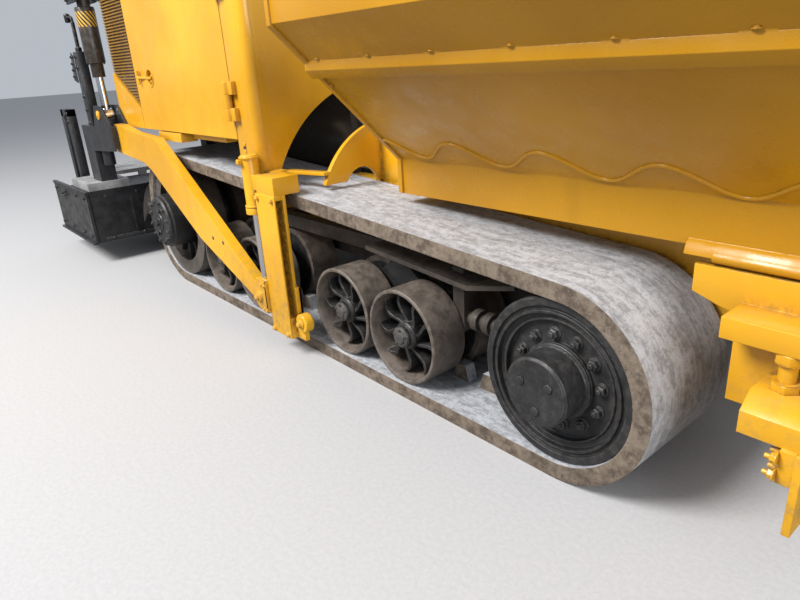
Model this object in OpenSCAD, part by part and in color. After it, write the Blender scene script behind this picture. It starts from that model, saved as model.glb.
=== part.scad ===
// Self-propelled asphalt paver on rubber belts, with a towed screed.
// +X points to the hopper and push rollers, +Y to the machine's left, +Z up, ground at z = 0.
// Lengthwise places named x_... are measured from the front belt wheel's axle, forward positive.
// Crosswise places named y_... are measured from the centre plane and serve both sides.

/* [Undercarriage] */
// Distance between the centre planes of the two belts
gauge = 1981; // [1940:1:2020]
// Width of each belt
belt_w = 457; // [440:1:470]
// Thickness of the belt
belt_t = 60; // [45:1:65]
// Distance from the front axle back to the rear axle
wheelbase = 3000; // [2980:1:3040]
// Radius of the front wheel
front_wheel_r = 285; // [270:1:300]
// Radius of the rear drive wheel
drive_wheel_r = 375; // [360:1:385]
// Radius of the small ground wheels
bogie_wheel_r = 205; // [190:1:208]
// Distance between the two wheels of a bogie
bogie_pitch = 420; // [418:1:430]
// Front axle to the pivot of the front bogie
x_bogie_front = -970; // [-1000:1:-940]
// Rear axle forward to the pivot of the rear bogie
bogie_rear_ahead = 778; // [760:1:800]
// Height of the bogie pivot above the wheel centres
bogie_rise = 180; // [170:1:200]
// Width of the wheel-free channel for the guide lugs
lug_channel = 90; // [80:1:110]
// Distance from the belt's edge to the wheel face
wheel_inset = 14; // [5:1:25]
// Height of a guide lug
lug_h = 70; // [50:1:80]
// Distance between guide lugs
lug_pitch = 150; // [120:1:220]
// Radius of the final drive drum
final_drive_r = 170; // [150:1:185]
// Reach of the final drive beyond the belt's outer face
final_drive_out = 110; // [60:1:130]

/* [Main frame] */
// Clearance between belt and the frame's side plate
frame_gap = 30; // [20:1:45]
// Thickness of the frame's side beams
frame_beam_w = 90; // [70:1:110]
// Underside of the side beams
frame_z0 = 470; // [440:1:500]
// Top of the side beams
frame_z1 = 770; // [750:1:790]
// Front end of the side beams
x_frame_front = 700; // [660:1:740]
// Front face of the body's bulkhead
x_bulkhead = -1661; // [-1680:1:-1640]
// Rear axle back to the rear end of the body
body_behind = 556; // [540:1:600]

/* [Body] */
// Half width over the body's side panels
body_half_w = 1259; // [1245:1:1262]
// Thickness of doors and panels
panel_t = 40; // [30:1:50]
// Bottom edge of the side panels
body_z0 = 1010; // [1006:1:1030]
// Top of the body
body_z1 = 1960; // [1900:1:2000]
// Bottom of the corner posts
post_z0 = 880; // [860:1:900]
// Seam between post and door
x_door_front = -1857; // [-1880:1:-1830]
// Rear axle back to the seam between door and grille
door_behind = 130; // [110:1:150]
// Gap round the doors and the hood
door_gap = 6; // [5:1:10]
// Radius of the arch over each belt
arch_r = 373; // [350:1:380]
// Height of the arch's centre
arch_z = 830; // [820:1:840]
// Bottom of the grille at its rear edge
grille_z_rear = 1358; // [1300:1:1400]
// Bottom of the grille at its front edge
grille_z_front = 1135; // [1100:1:1180]
// Length of the operator's deck, from the body's rear end to the hood
deck_len = 916; // [880:1:940]
// Half width of the engine hood
hood_half_w = 760; // [700:1:800]

/* [Hopper] */
// Rear end of the hopper wings
x_hopper_rear = -1000; // [-1040:1:-960]
// Front end of the hopper wings
x_hopper_front = 780; // [740:1:820]
// Thickness of the wing's plates
wing_t = 30; // [20:1:40]
// Height of the wing's upper edge
wing_top_z = 1480; // [1440:1:1520]
// Half width over the wings' upper edges
wing_top_y = 1506; // [1480:1:1530]
// Height where the sloping plate ends
wing_low_z = 944; // [930:1:960]
// Half width at that height
wing_low_y = 957; // [940:1:970]
// Lower end of the wing's upright skirt
wing_skirt_z = 845; // [835:1:860]
// Crosswise place of the wing hinge
wing_hinge_y = 700; // [690:1:715]
// Height of the wing hinge
wing_hinge_z = 822; // [815:1:835]
// Radius of the wing hinge tube
wing_hinge_r = 28; // [22:1:32]
// Height of the side rail
rail_h = 52; // [40:1:60]
// Depth of the side rail
rail_d = 60; // [45:1:70]
// Top of the conveyor floor
floor_z = 740; // [730:1:748]
// Width of each slat conveyor
conveyor_w = 570; // [540:1:585]
// Distance between conveyor slats
slat_pitch = 150; // [120:1:200]

/* [Front] */
// Radius of the push rollers
roller_r = 90; // [80:1:100]
// Length of each push roller
roller_len = 560; // [500:1:600]
// Height of the push rollers' axis
roller_z = 520; // [480:1:560]
// Front axle to the push rollers' axis
x_roller = 1060; // [1050:1:1080]
// Depth of the push beam
push_beam_d = 110; // [90:1:120]
// Height of the push beam
push_beam_h = 180; // [150:1:200]

/* [Tow point] */
// Gap between the body's side and the tow arm
arm_gap = 20; // [18:1:30]
// Top of the tow arm below the side doors
arm_top_z = 975; // [960:1:980]
// Thickness of the tow arm
arm_t = 60; // [50:1:62]
// Rear face of the tow point column
x_column_rear = -1600; // [-1620:1:-1590]
// Length of the column's rear member
column_d = 174; // [160:1:190]
// Slot between the column's two members
column_slot = 40; // [34:1:50]
// Length of the column's front member
column_front_d = 56; // [45:1:65]
// Lower end of the column
column_z0 = 115; // [100:1:130]
// Height of the tow pin
tow_pin_z = 262; // [255:1:275]
// Radius of the tow pin
tow_pin_r = 30; // [25:1:34]
// Distance of the tow pin behind the column
tow_pin_back = 72; // [68:1:80]
// Radius of the tow point cylinder's barrel
tow_barrel_r = 42; // [36:1:44]
// Radius of the tow point cylinder's rod
tow_rod_r = 20; // [16:1:24]
// Travel of the tow point
tow_travel = 250; // [200:1:280]

/* [Screed] */
// Rear axle back to the front face of the screed
screed_behind = 930; // [920:1:950]
// Length of the main screed, front to rear
screed_d = 480; // [440:1:520]
// Half width of the main screed
screed_half_w = 1490; // [1470:1:1500]
// Underside of the screed as parked
screed_z0 = 160; // [150:1:200]
// Top of the screed boxes
screed_z1 = 550; // [520:1:580]
// Length of the extension, front to rear
ext_d = 380; // [340:1:420]
// Thickness of the end gates
gate_t = 20; // [12:1:25]
// Gap between the screed's sliding pieces
slide_gap = 6; // [5:1:10]
// Radius of the extension's guide tube
guide_r = 45; // [35:1:50]
// Rear axle back to the lift cylinder
lift_behind = 640; // [630:1:650]
// Radius of the lift cylinder's barrel
lift_barrel_r = 40; // [34:1:44]
// Radius of the lift cylinder's rod
lift_rod_r = 26; // [20:1:30]
// Height of the lift cylinder's lower eye
lift_eye_z = 1090; // [1070:1:1100]
// Height of the lift cylinder's upper pin
lift_top_z = 1850; // [1830:1:1880]

/* [Auger] */
// Radius of the auger's flights
auger_r = 200; // [180:1:205]
// Rear axle back to the auger
auger_behind = 672; // [665:1:680]
// Height of the auger's axis
auger_z = 400; // [380:1:420]
// Pitch of the auger's flights
flight_pitch = 300; // [250:1:340]
// Outer end of the auger
auger_y1 = 1170; // [1120:1:1180]

/* [Operator's platform] */
// Height of the canopy's underside
canopy_z = 3560; // [3400:1:3650]
// Thickness of the canopy
canopy_t = 90; // [60:1:110]
// Height of the handrails above the deck
handrail_h = 1050; // [950:1:1100]
// Radius of the handrails
rail_r = 19; // [15:1:22]

/* [Hidden] */
$fn = 48;
run = 0.05;
seat = 0.3;
belt_y = gauge / 2;
belt_y1 = belt_y + belt_w / 2;
belt_y0 = belt_y - belt_w / 2;
front_z = front_wheel_r + belt_t;
drive_z = drive_wheel_r + belt_t;
bogie_z = bogie_wheel_r + belt_t;
frame_y1 = belt_y0 - frame_gap;
frame_y0 = frame_y1 - frame_beam_w;
rise = drive_z - front_z;
x_bogie_rear = -wheelbase + bogie_rear_ahead;
x_body_rear = -wheelbase - body_behind;
x_door_rear = -wheelbase - door_behind;
x_hood_rear = x_body_rear + deck_len;
x_screed_front = -wheelbase - screed_behind;
x_lift = -wheelbase - lift_behind;
x_auger = -wheelbase - auger_behind;
y_arm = body_half_w + arm_gap + arm_t / 2;
axle_d = sqrt(wheelbase * wheelbase + rise * rise);
belt_n = [2 * wheelbase * rise / (axle_d * axle_d), 1 - 2 * rise * rise / (axle_d * axle_d)];
x_front_end = x_roller + roller_r;
x_rear_end = x_screed_front - screed_d - ext_d - 60;
x_shift = -(x_front_end + x_rear_end) / 2;
x_pivot = x_roller - 265;
pivot_r = 30;
tow_pin_x = x_column_rear - tow_pin_back;
guide_z = screed_z1 - 130;
slider_wall = 14;
slider_z1 = tow_pin_z + 88;
knuckle_r = wing_hinge_r + 18;
knuckle_len = 160;
knuckle_x = [x_hopper_rear + 40, (x_hopper_rear + x_hopper_front - knuckle_len) / 2,
    x_frame_front - 260];
wing_plate_y = wing_hinge_y + knuckle_r + 6;
ear_gap = lift_barrel_r + 6;
ear_t = 12;
y_lift = body_half_w + door_gap + ear_t + ear_gap;
deck_z = body_z1 + 40;
hinge_x = x_door_front + door_gap / 2;
hinge_knuckle_r = 20;
hinge_y = body_half_w + hinge_knuckle_r + 1;
door_hinge_z = [body_z0 + 150, body_z1 - 260];
hood_hinge_y = [-560, 500];

// Helpers: blocks by their corners, plates by an outline, round bars along an axis.
module block(x, y, z) {
    translate([x[0], y[0], z[0]]) cube([x[1] - x[0], y[1] - y[0], z[1] - z[0]]);
}
module plate_xz(y, pts) {
    translate([0, y[1], 0]) rotate([90, 0, 0]) linear_extrude(height = y[1] - y[0]) polygon(pts);
}
module plate_yz(x, pts) {
    translate([x[0], 0, 0]) rotate([90, 0, 90]) linear_extrude(height = x[1] - x[0]) polygon(pts);
}
module plate_xy(z, pts) {
    translate([0, 0, z[0]]) linear_extrude(height = z[1] - z[0]) polygon(pts);
}
module bar_x(x, y, z, r) {
    translate([x[0], y, z]) rotate([0, 90, 0]) cylinder(r = r, h = x[1] - x[0]);
}
module bar_y(x, y, z, r) {
    translate([x, y[0], z]) rotate([-90, 0, 0]) cylinder(r = r, h = y[1] - y[0]);
}
module bar_z(x, y, z, r) {
    translate([x, y, z[0]]) cylinder(r = r, h = z[1] - z[0]);
}
module placed() {
    translate([x_shift, 0, 0]) children();
}
module on_side(s) {
    if (s > 0) children();
    else mirror([0, 1, 0]) children();
}
module both() {
    for (s = [-1, 1]) on_side(s) children();
}

// Undercarriage
module loop_solid(inner, y) {
    r1 = front_z - inner;
    r2 = drive_z - inner;
    bar_y(0, y, front_z, r1, $fn = 96);
    bar_y(-wheelbase, y, drive_z, r2, $fn = 96);
    plate_xz(y, [
        [0, front_z - r1],
        [r1 * belt_n[0], front_z + r1 * belt_n[1]],
        [-wheelbase + r2 * belt_n[0], drive_z + r2 * belt_n[1]],
        [-wheelbase, drive_z - r2]
    ]);
}
module guide_lugs() {
    half = 26;
    for (x = [-wheelbase : lug_pitch : 0])
        plate_xz([belt_y - half, belt_y + half], [
            [x - 45, belt_t - 2],
            [x + 45, belt_t - 2],
            [x + 25, belt_t + lug_h],
            [x - 25, belt_t + lug_h]
        ]);
}
module belt() {
    color([0.42, 0.40, 0.38]) {
        difference() {
            loop_solid(0, [belt_y0, belt_y1]);
            loop_solid(belt_t, [belt_y0 - 1, belt_y1 + 1]);
        }
        guide_lugs();
    }
}
module twin_wheel(x, z, r, dish_r, hub_r, hub_in = 0) {
    w = (belt_w - lug_channel) / 2 - wheel_inset;
    for (m = [-1, 1]) {
        y0 = m < 0 ? belt_y0 + wheel_inset : belt_y1 - wheel_inset - w;
        difference() {
            bar_y(x, [y0, y0 + w], z, r - run, $fn = 72);
            if (m > 0) bar_y(x, [y0 + w - 70, y0 + w + 1], z, dish_r, $fn = 72);
        }
    }
    bar_y(x, [belt_y0 + wheel_inset, belt_y1 - wheel_inset - hub_in], z, hub_r);
}
module front_wheels() {
    color([0.12, 0.12, 0.13]) both() {
        twin_wheel(0, front_z, front_wheel_r, front_wheel_r - 60, front_wheel_r - 180);
        bar_y(0, [frame_y1 - 20, belt_y0 + wheel_inset + 1], front_z, 70);
    }
}
module drive_wheels() {
    color([0.16, 0.16, 0.16]) both()
        twin_wheel(-wheelbase, drive_z, drive_wheel_r, drive_wheel_r - 90,
            drive_wheel_r - 160, 71);
}
module final_drives() {
    color([0.10, 0.10, 0.11]) both() {
        y0 = belt_y1 - wheel_inset - 70;
        bar_y(-wheelbase, [y0, belt_y1 + final_drive_out], drive_z, final_drive_r, $fn = 72);
        bar_y(-wheelbase, [frame_y1, belt_y0 + wheel_inset], drive_z, final_drive_r - 40);
    }
}
module bogie_wheels() {
    color([0.30, 0.27, 0.25]) both()
        for (xb = [x_bogie_front, x_bogie_rear])
            for (d = [-1, 1])
                twin_wheel(xb + d * bogie_pitch / 2, bogie_z, bogie_wheel_r,
                    bogie_wheel_r - 22, 60);
}
module bogie_frames() {
    color([0.12, 0.12, 0.12]) both()
        for (xb = [x_bogie_front, x_bogie_rear]) {
            h = bogie_pitch / 2;
            difference() {
                plate_xz([belt_y - 22, belt_y + 22], [
                    [xb - h - 66, bogie_z - 60],
                    [xb + h + 66, bogie_z - 60],
                    [xb + h + 66, bogie_z + 60],
                    [xb + 60, bogie_z + bogie_rise + 50],
                    [xb - 60, bogie_z + bogie_rise + 50],
                    [xb - h - 66, bogie_z + 60]
                ]);
                for (d = [-1, 1])
                    bar_y(xb + d * h, [belt_y - 23, belt_y + 23], bogie_z, 60 + run);
            }
            bar_y(xb, [frame_y1, belt_y], bogie_z + bogie_rise, 45);
        }
}
module track_frames() {
    color([0.13, 0.13, 0.13]) both() {
        difference() {
            plate_xz([frame_y1 - 60, frame_y1], [
                [110, front_z - 110],
                [110, frame_z0],
                [-wheelbase - 170, frame_z0],
                [-wheelbase - 170, drive_z - 170],
                [-wheelbase + 170, drive_z - 170],
                [x_bogie_rear - 200, bogie_z + 60],
                [x_bogie_front + 200, bogie_z + 60],
                [-110, front_z - 110]
            ]);
            bar_y(0, [frame_y1 - 61, frame_y1 + 1], front_z, 70 + run);
        }
    }
}
module belt_guards() {
    color([0.33, 0.29, 0.26]) both() {
        plate_xz([belt_y0 + 40, belt_y1 - 110], [
            [-240, front_z + 225],
            [-470, front_z + 170],
            [-1080, front_z + 215],
            [-1080, front_z + 233],
            [-470, front_z + 188],
            [-240, front_z + 243]
        ]);
        block([-700, -640], [frame_y1, belt_y0 + 41], [front_z + 190, front_z + 215]);
    }
}

// Main frame, hopper floor and front
module main_frame() {
    color([0.90, 0.66, 0.10]) {
        both() {
            block([x_body_rear + 120, x_frame_front], [frame_y0, frame_y1], [frame_z0, frame_z1]);
            block([x_frame_front - 260, x_frame_front], [frame_y1, 1090], [560, 620]);
            block([x_bulkhead, x_bulkhead + 60], [frame_y1, 1160], [826, 850]);
            bar_x([knuckle_x[0] - 40, knuckle_x[2] + knuckle_len + 40], wing_hinge_y,
                wing_hinge_z, wing_hinge_r);
            for (x = knuckle_x)
                for (xl = [x - 36, x + knuckle_len + 6])
                    block([xl, xl + 30], [wing_hinge_y - 24, wing_hinge_y + 24],
                        [frame_z1 - 1, wing_hinge_z]);
            difference() {
                block([x_frame_front + 39, x_frame_front + 115], [385, 415], [345, 422]);
                bar_y(x_frame_front + 75, [384, 416], 384, 22);
            }
            difference() {
                block([x_body_rear + 40, x_body_rear + 120], [672, 702], [680, 770]);
                bar_y(x_body_rear + 76, [671, 703], 725, 25);
            }
        }
        block([x_frame_front + seat, x_frame_front + 40], [-frame_y1, frame_y1], [340, 620]);
        for (x = [x_bulkhead + 61, x_bulkhead - 939])
            block([x, x + 80], [-frame_y0 + seat, frame_y0 - seat],
                [frame_z0, frame_z0 + 110]);
        difference() {
            block([x_frame_front + 39, x_pivot + pivot_r + 8], [-55, 55],
                [roller_z - 40, roller_z + 40]);
            bar_z(x_pivot, 0, [roller_z - 41, roller_z + 41], pivot_r + run);
        }
    }
}
module conveyor_floor() {
    color([0.36, 0.34, 0.32]) {
        block([x_body_rear + 110, x_frame_front], [-frame_y0, frame_y0], [floor_z - 30, floor_z]);
        block([x_body_rear + 110, x_frame_front], [-30, 30], [floor_z, floor_z + 90]);
        both() block([x_hopper_rear, x_frame_front], [frame_y0 - 45, frame_y0],
            [floor_z, floor_z + 60]);
    }
}
module conveyor_slats() {
    color([0.25, 0.24, 0.23]) both()
        for (x = [x_body_rear + 160 : slat_pitch : x_frame_front - 60])
            block([x, x + 40], [32, 32 + conveyor_w - 60], [floor_z, floor_z + 28]);
}
module push_beam() {
    color([0.93, 0.69, 0.12]) {
        block([x_roller - 105 - push_beam_d, x_roller - 105], [-1180, 1180],
            [roller_z - push_beam_h / 2, roller_z + push_beam_h / 2]);
        for (z = [roller_z - 66, roller_z + 46])
            block([x_pivot - 45, x_roller - 104 - push_beam_d], [-70, 70], [z, z + 20]);
        bar_z(x_pivot, 0, [roller_z - 66, roller_z + 66], pivot_r);
        for (y = [-1180, -560, 540, 1160])
            difference() {
                plate_xz([y, y + 20], [
                    [x_roller - 106, roller_z - 80],
                    [x_roller, roller_z - 80],
                    [x_roller + 50, roller_z - 30],
                    [x_roller + 50, roller_z + 30],
                    [x_roller, roller_z + 80],
                    [x_roller - 106, roller_z + 80]
                ]);
                bar_y(x_roller, [y - 1, y + 21], roller_z, 25 + run);
            }
    }
}
module push_roller() {
    color([0.20, 0.20, 0.21]) {
        bar_y(x_roller, [567, 1153], roller_z, roller_r, $fn = 64);
        bar_y(x_roller, [541, 1179], roller_z, 25);
    }
}
module belt_deflectors() {
    color([0.93, 0.69, 0.12]) both() {
        block([x_frame_front + 2, x_frame_front + 22], [belt_y0, 1180], [110, 430]);
        block([x_frame_front - 170, x_frame_front + 30], [1030, 1170], [430, 490]);
        block([x_frame_front - 90, x_frame_front - 40], [1090, 1110], [300, 430]);
        block([x_frame_front - 260, x_frame_front - 160], [1040, 1090], [460, 560]);
        bar_z(x_frame_front - 60, 1100, [490, 560], 22);
        translate([x_frame_front - 60, 1100, 490]) cylinder(r = 38, h = 28, $fn = 6);
    }
}

// Hopper wings
module wing() {
    color([0.92, 0.68, 0.10]) {
        difference() {
            plate_yz([x_hopper_rear, x_hopper_front], [
                [wing_top_y, wing_top_z],
                [wing_low_y, wing_low_z],
                [wing_low_y, wing_skirt_z],
                [wing_plate_y, wing_hinge_z - 15],
                [wing_plate_y, wing_hinge_z + 15],
                [wing_low_y - wing_t, wing_skirt_z + 32],
                [wing_low_y - wing_t, wing_low_z + 12],
                [wing_top_y - wing_t, wing_top_z]
            ]);
            bar_x([x_hopper_rear - 1, x_hopper_front + 1], wing_hinge_y, wing_hinge_z,
                wing_hinge_r + run);
        }
        for (x = knuckle_x)
            difference() {
                union() {
                    bar_x([x, x + knuckle_len], wing_hinge_y, wing_hinge_z, knuckle_r);
                    block([x, x + knuckle_len], [wing_hinge_y, wing_plate_y + 2],
                        [wing_hinge_z - 14, wing_hinge_z + 14]);
                }
                bar_x([x - 1, x + knuckle_len + 1], wing_hinge_y, wing_hinge_z,
                    wing_hinge_r + run);
            }
        rail();
        wing_end(x_hopper_rear);
        wing_end(x_hopper_front - 24);
    }
}
module rail() {
    y = 1339 + 15;
    z = 1339;
    block([x_hopper_rear, x_hopper_front], [y - 20, y + rail_d - 20], [z - rail_h, z]);
}
module wing_end(x) {
    plate_yz([x, x + 24], [
        [wing_top_y - 5, wing_top_z],
        [wing_low_y - 5, wing_low_z],
        [wing_low_y - 5, wing_skirt_z + 3],
        [wing_plate_y + 5, wing_hinge_z],
        [wing_hinge_y + 120, 1120],
        [wing_hinge_y + 380, wing_top_z - 60]
    ]);
}

// Body
module bulkhead() {
    color([0.93, 0.69, 0.12])
        difference() {
            union() {
                plate_yz([x_bulkhead - panel_t, x_bulkhead], [
                    [-body_half_w, post_z0],
                    [body_half_w, post_z0],
                    [body_half_w, body_z1],
                    [-body_half_w, body_z1]
                ]);
                both() {
                    block([x_door_front + door_gap, x_bulkhead - panel_t],
                        [body_half_w - panel_t, body_half_w], [post_z0, body_z1]);
                    for (z = door_hinge_z) {
                        bar_z(hinge_x, hinge_y, [z - 55, z + 115], 10);
                        for (zk = [z - 60, z + 60.3]) {
                            bar_z(hinge_x, hinge_y, [zk, zk + 59.7], hinge_knuckle_r);
                            block([hinge_x, hinge_x + 60], [body_half_w - 1, hinge_y + 4],
                                [zk, zk + 59.7]);
                        }
                    }
                }
                for (y = hood_hinge_y) {
                    bar_y(x_bulkhead + 2, [y - 60, y + 120], body_z1 + 24, 10);
                    for (yk = [y - 60, y + 60.3]) {
                        bar_y(x_bulkhead + 2, [yk, yk + 59.7], body_z1 + 24, 18);
                        block([x_bulkhead - 10, x_bulkhead + 14], [yk, yk + 59.7],
                            [body_z1 - 60, body_z1 + 24]);
                    }
                }
            }
            both() bar_x([x_bulkhead - panel_t - 1, x_bulkhead + 1], 779, arch_z, arch_r,
                $fn = 96);
            block([x_bulkhead - panel_t - 1, x_bulkhead + 1], [-frame_y0, frame_y0],
                [post_z0 - 1, 1130]);
        }
}
module body_shell() {
    color([0.93, 0.69, 0.12]) {
        both() {
            plate_xz([body_half_w - panel_t, body_half_w], [
                [x_body_rear, body_z0],
                [x_door_rear - door_gap, body_z0],
                [x_door_rear - door_gap, grille_z_front - 8],
                [x_body_rear, grille_z_rear - 8]
            ]);
            block([x_body_rear, x_door_rear - door_gap], [body_half_w - panel_t - 40,
                body_half_w - panel_t], [body_z0, body_z1]);
            block([x_door_rear - door_gap, x_bulkhead - panel_t],
                [body_half_w - panel_t - 90, body_half_w - panel_t - door_gap],
                [body_z0, body_z0 + 60]);
        }
        block([x_body_rear, x_body_rear + panel_t], [-body_half_w + panel_t + 40,
            body_half_w - panel_t - 40], [1180, body_z1]);
        both() {
            block([x_body_rear, x_body_rear + 100], [frame_y0, frame_y1], [frame_z1, 1180]);
            block([x_body_rear + 100, x_bulkhead - panel_t], [frame_y0, frame_y0 + 40],
                [frame_z1, 1180]);
            block([x_body_rear, x_body_rear + 100], [frame_y1, body_half_w - panel_t - 40],
                [body_z0, body_z0 + 60]);
        }
        block([x_body_rear + panel_t, x_bulkhead - panel_t], [-frame_y0 - 40, frame_y0 + 40],
            [1180, 1200]);
        difference() {
            block([x_body_rear + panel_t, x_bulkhead - panel_t],
                [-body_half_w + panel_t + 40, body_half_w - panel_t - 40],
                [body_z1 - 30, body_z1]);
            block([x_hood_rear, x_bulkhead - panel_t - 60],
                [-hood_half_w + 60, hood_half_w - 60], [body_z1 - 31, body_z1 + 1]);
        }
    }
}
module side_door() {
    color([0.95, 0.74, 0.22])
        difference() {
            block([x_door_rear, x_door_front], [body_half_w - panel_t, body_half_w],
                [body_z0, body_z1 - 4]);
            bar_y(x_door_rear + 250, [body_half_w - 16, body_half_w + 1], 1310, 45);
        }
    color([0.95, 0.74, 0.22])
        for (z = door_hinge_z)
            difference() {
                union() {
                    bar_z(hinge_x, hinge_y, [z, z + 60], hinge_knuckle_r);
                    block([hinge_x - 60, hinge_x], [body_half_w - 1, hinge_y + 4], [z, z + 60]);
                }
                bar_z(hinge_x, hinge_y, [z - 1, z + 61], 10 + run);
            }
}
module side_grilles() {
    color([0.72, 0.52, 0.12]) both()
        plate_xz([body_half_w - panel_t, body_half_w - 6], [
            [x_body_rear, grille_z_rear],
            [x_door_rear - door_gap, grille_z_front],
            [x_door_rear - door_gap, body_z1],
            [x_body_rear, body_z1]
        ]);
}
module hood() {
    t = 25;
    color([0.93, 0.69, 0.12]) difference() {
        plate_xz([-hood_half_w, hood_half_w], [
            [x_hood_rear + door_gap, body_z1 + 0.3],
            [x_bulkhead - 20, body_z1 + 0.3],
            [x_bulkhead - 20, body_z1 + 60],
            [x_bulkhead - 140, body_z1 + 120],
            [x_hood_rear + door_gap, body_z1 + 150]
        ]);
        plate_xz([-hood_half_w + t, hood_half_w - t], [
            [x_hood_rear + door_gap + t, body_z1 - 1],
            [x_bulkhead - 20 - t, body_z1 - 1],
            [x_bulkhead - 20 - t, body_z1 + 45],
            [x_bulkhead - 150, body_z1 + 120 - t],
            [x_hood_rear + door_gap + t, body_z1 + 150 - t]
        ]);
    }
    color([0.93, 0.69, 0.12])
        for (y = hood_hinge_y)
            difference() {
                union() {
                    bar_y(x_bulkhead + 2, [y, y + 60], body_z1 + 24, 18);
                    block([x_bulkhead - 21, x_bulkhead + 2], [y, y + 60],
                        [body_z1 + 14, body_z1 + 34]);
                }
                bar_y(x_bulkhead + 2, [y - 1, y + 61], body_z1 + 24, 10 + run);
            }
}
module engine() {
    color([0.35, 0.35, 0.35])
        block([x_body_rear + 656, x_bulkhead - 239], [-400, 400], [1200, body_z1 - 100]);
}
module exhaust() {
    color([0.25, 0.24, 0.23]) {
        bar_z(x_hood_rear + 200, 930, [body_z1, body_z1 + 560], 55);
        bar_z(x_hood_rear + 200, 930, [body_z1 + 560, body_z1 + 820], 38);
    }
}

// Operator's platform
module operator_deck() {
    x0 = x_body_rear - 60;
    x1 = x_hood_rear - 20;
    y1 = body_half_w - 20;
    color([0.12, 0.12, 0.12]) {
        block([x0, x1], [-y1, y1], [body_z1, deck_z]);
        both() {
            for (x = [x0 + 30, (x0 + x1) / 2, x1 - 30])
                bar_z(x, y1 - 30, [deck_z - 1, deck_z + handrail_h], rail_r);
            for (h = [handrail_h / 2, handrail_h])
                bar_x([x0 + 30, x1 - 30], y1 - 30, deck_z + h, rail_r);
        }
    }
}
module operator_seats() {
    color([0.08, 0.08, 0.08]) both() {
        bar_z(x_body_rear + 260, 760, [deck_z, deck_z + 380], 60);
        block([x_body_rear + 20, x_body_rear + 500], [520, 1000], [deck_z + 380, deck_z + 490]);
        plate_xz([530, 990], [
            [x_body_rear + 20, deck_z + 490],
            [x_body_rear + 130, deck_z + 490],
            [x_body_rear + 60, deck_z + 1080],
            [x_body_rear - 30, deck_z + 1080]
        ]);
    }
}
module consoles() {
    color([0.15, 0.15, 0.15])
        plate_xz([-1000, 1000], [
            [x_hood_rear - 60, deck_z],
            [x_hood_rear - 60, deck_z + 900],
            [x_hood_rear - 200, deck_z + 940],
            [x_hood_rear - 330, deck_z + 760],
            [x_hood_rear - 260, deck_z + 620],
            [x_hood_rear - 200, deck_z]
        ]);
}
module steering_wheel() {
    color([0.05, 0.05, 0.05])
        translate([x_hood_rear - 265, -760, deck_z + 850]) rotate([0, -54, 0]) {
            translate([0, 0, 0.3]) cylinder(r = 18, h = 60);
            translate([0, 0, 60]) rotate_extrude($fn = 64) translate([170, 0]) circle(r = 14);
            for (a = [0, 120, 240])
                rotate([0, 0, a]) translate([0, -12, 52]) cube([170, 24, 14]);
        }
}
module canopy() {
    x0 = x_body_rear - 100;
    x1 = x_hood_rear + 60;
    y1 = body_half_w - 60;
    color([0.93, 0.69, 0.12]) {
        block([x0 - 60, x1 + 60], [-y1 - 40, y1 + 40], [canopy_z, canopy_z + canopy_t]);
        both()
            for (x = [x0 + 120, x1 - 130])
                block([x, x + 50], [y1 - 60, y1 - 10], [deck_z, canopy_z]);
    }
}

// Tow points and arms
module tow_columns() {
    xf = x_column_rear + column_d + column_slot;
    color([0.95, 0.72, 0.15]) both() {
        y = [y_arm - arm_t / 2, y_arm + arm_t / 2];
        block([x_column_rear, x_column_rear + column_d], y, [column_z0, 835]);
        block([xf, xf + column_front_d], y, [column_z0, 835]);
        block([x_column_rear, xf + column_front_d], y, [column_z0 - 20, column_z0 + 30]);
        block([x_column_rear, xf + column_front_d], [body_half_w - 99, y_arm + arm_t / 2],
            [835, post_z0 + 30]);
        block([x_bulkhead, x_column_rear + 1], [body_half_w - 99, body_half_w - 19],
            [835, post_z0 + 30]);
    }
}
module tow_slider() {
    y0 = y_arm - arm_t / 2;
    y1 = y_arm + arm_t / 2;
    c = 0.5;
    z = [tow_pin_z - 75, slider_z1];
    color([0.90, 0.66, 0.12]) {
        difference() {
            union() {
                block([x_column_rear - slider_wall - c, x_column_rear + column_d + slider_wall + c],
                    [y0 - slider_wall - c, y1 + slider_wall + c], z);
                for (y = [y0 - slider_wall - c, y1 + c])
                    block([tow_pin_x - 60, x_column_rear], [y, y + slider_wall], z);
                block([tow_pin_x - 42, x_column_rear], [y0 - 2, y1 + 2], [slider_z1 - 14, slider_z1]);
            }
            block([x_column_rear - c, x_column_rear + column_d + c], [y0 - c, y1 + c],
                [z[0] - 1, z[1] + 1]);
        }
        bar_y(tow_pin_x, [y0 - slider_wall - c - 8, y1 + slider_wall + c + 8], tow_pin_z,
            tow_pin_r);
    }
    color([0.85, 0.86, 0.88])
        bar_z(tow_pin_x + 5, y_arm, [slider_z1 - 1, slider_z1 + 400], tow_rod_r);
}
module tow_barrels() {
    color([0.95, 0.72, 0.15]) both()
        difference() {
            union() {
                bar_z(tow_pin_x + 5, y_arm, [680, 1040], tow_barrel_r);
                block([tow_pin_x + 5, x_column_rear + 1], [y_arm - 20, y_arm + 20], [840, 900]);
            }
            bar_z(tow_pin_x + 5, y_arm, [679, 1020], tow_rod_r + 0.3);
        }
}
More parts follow.
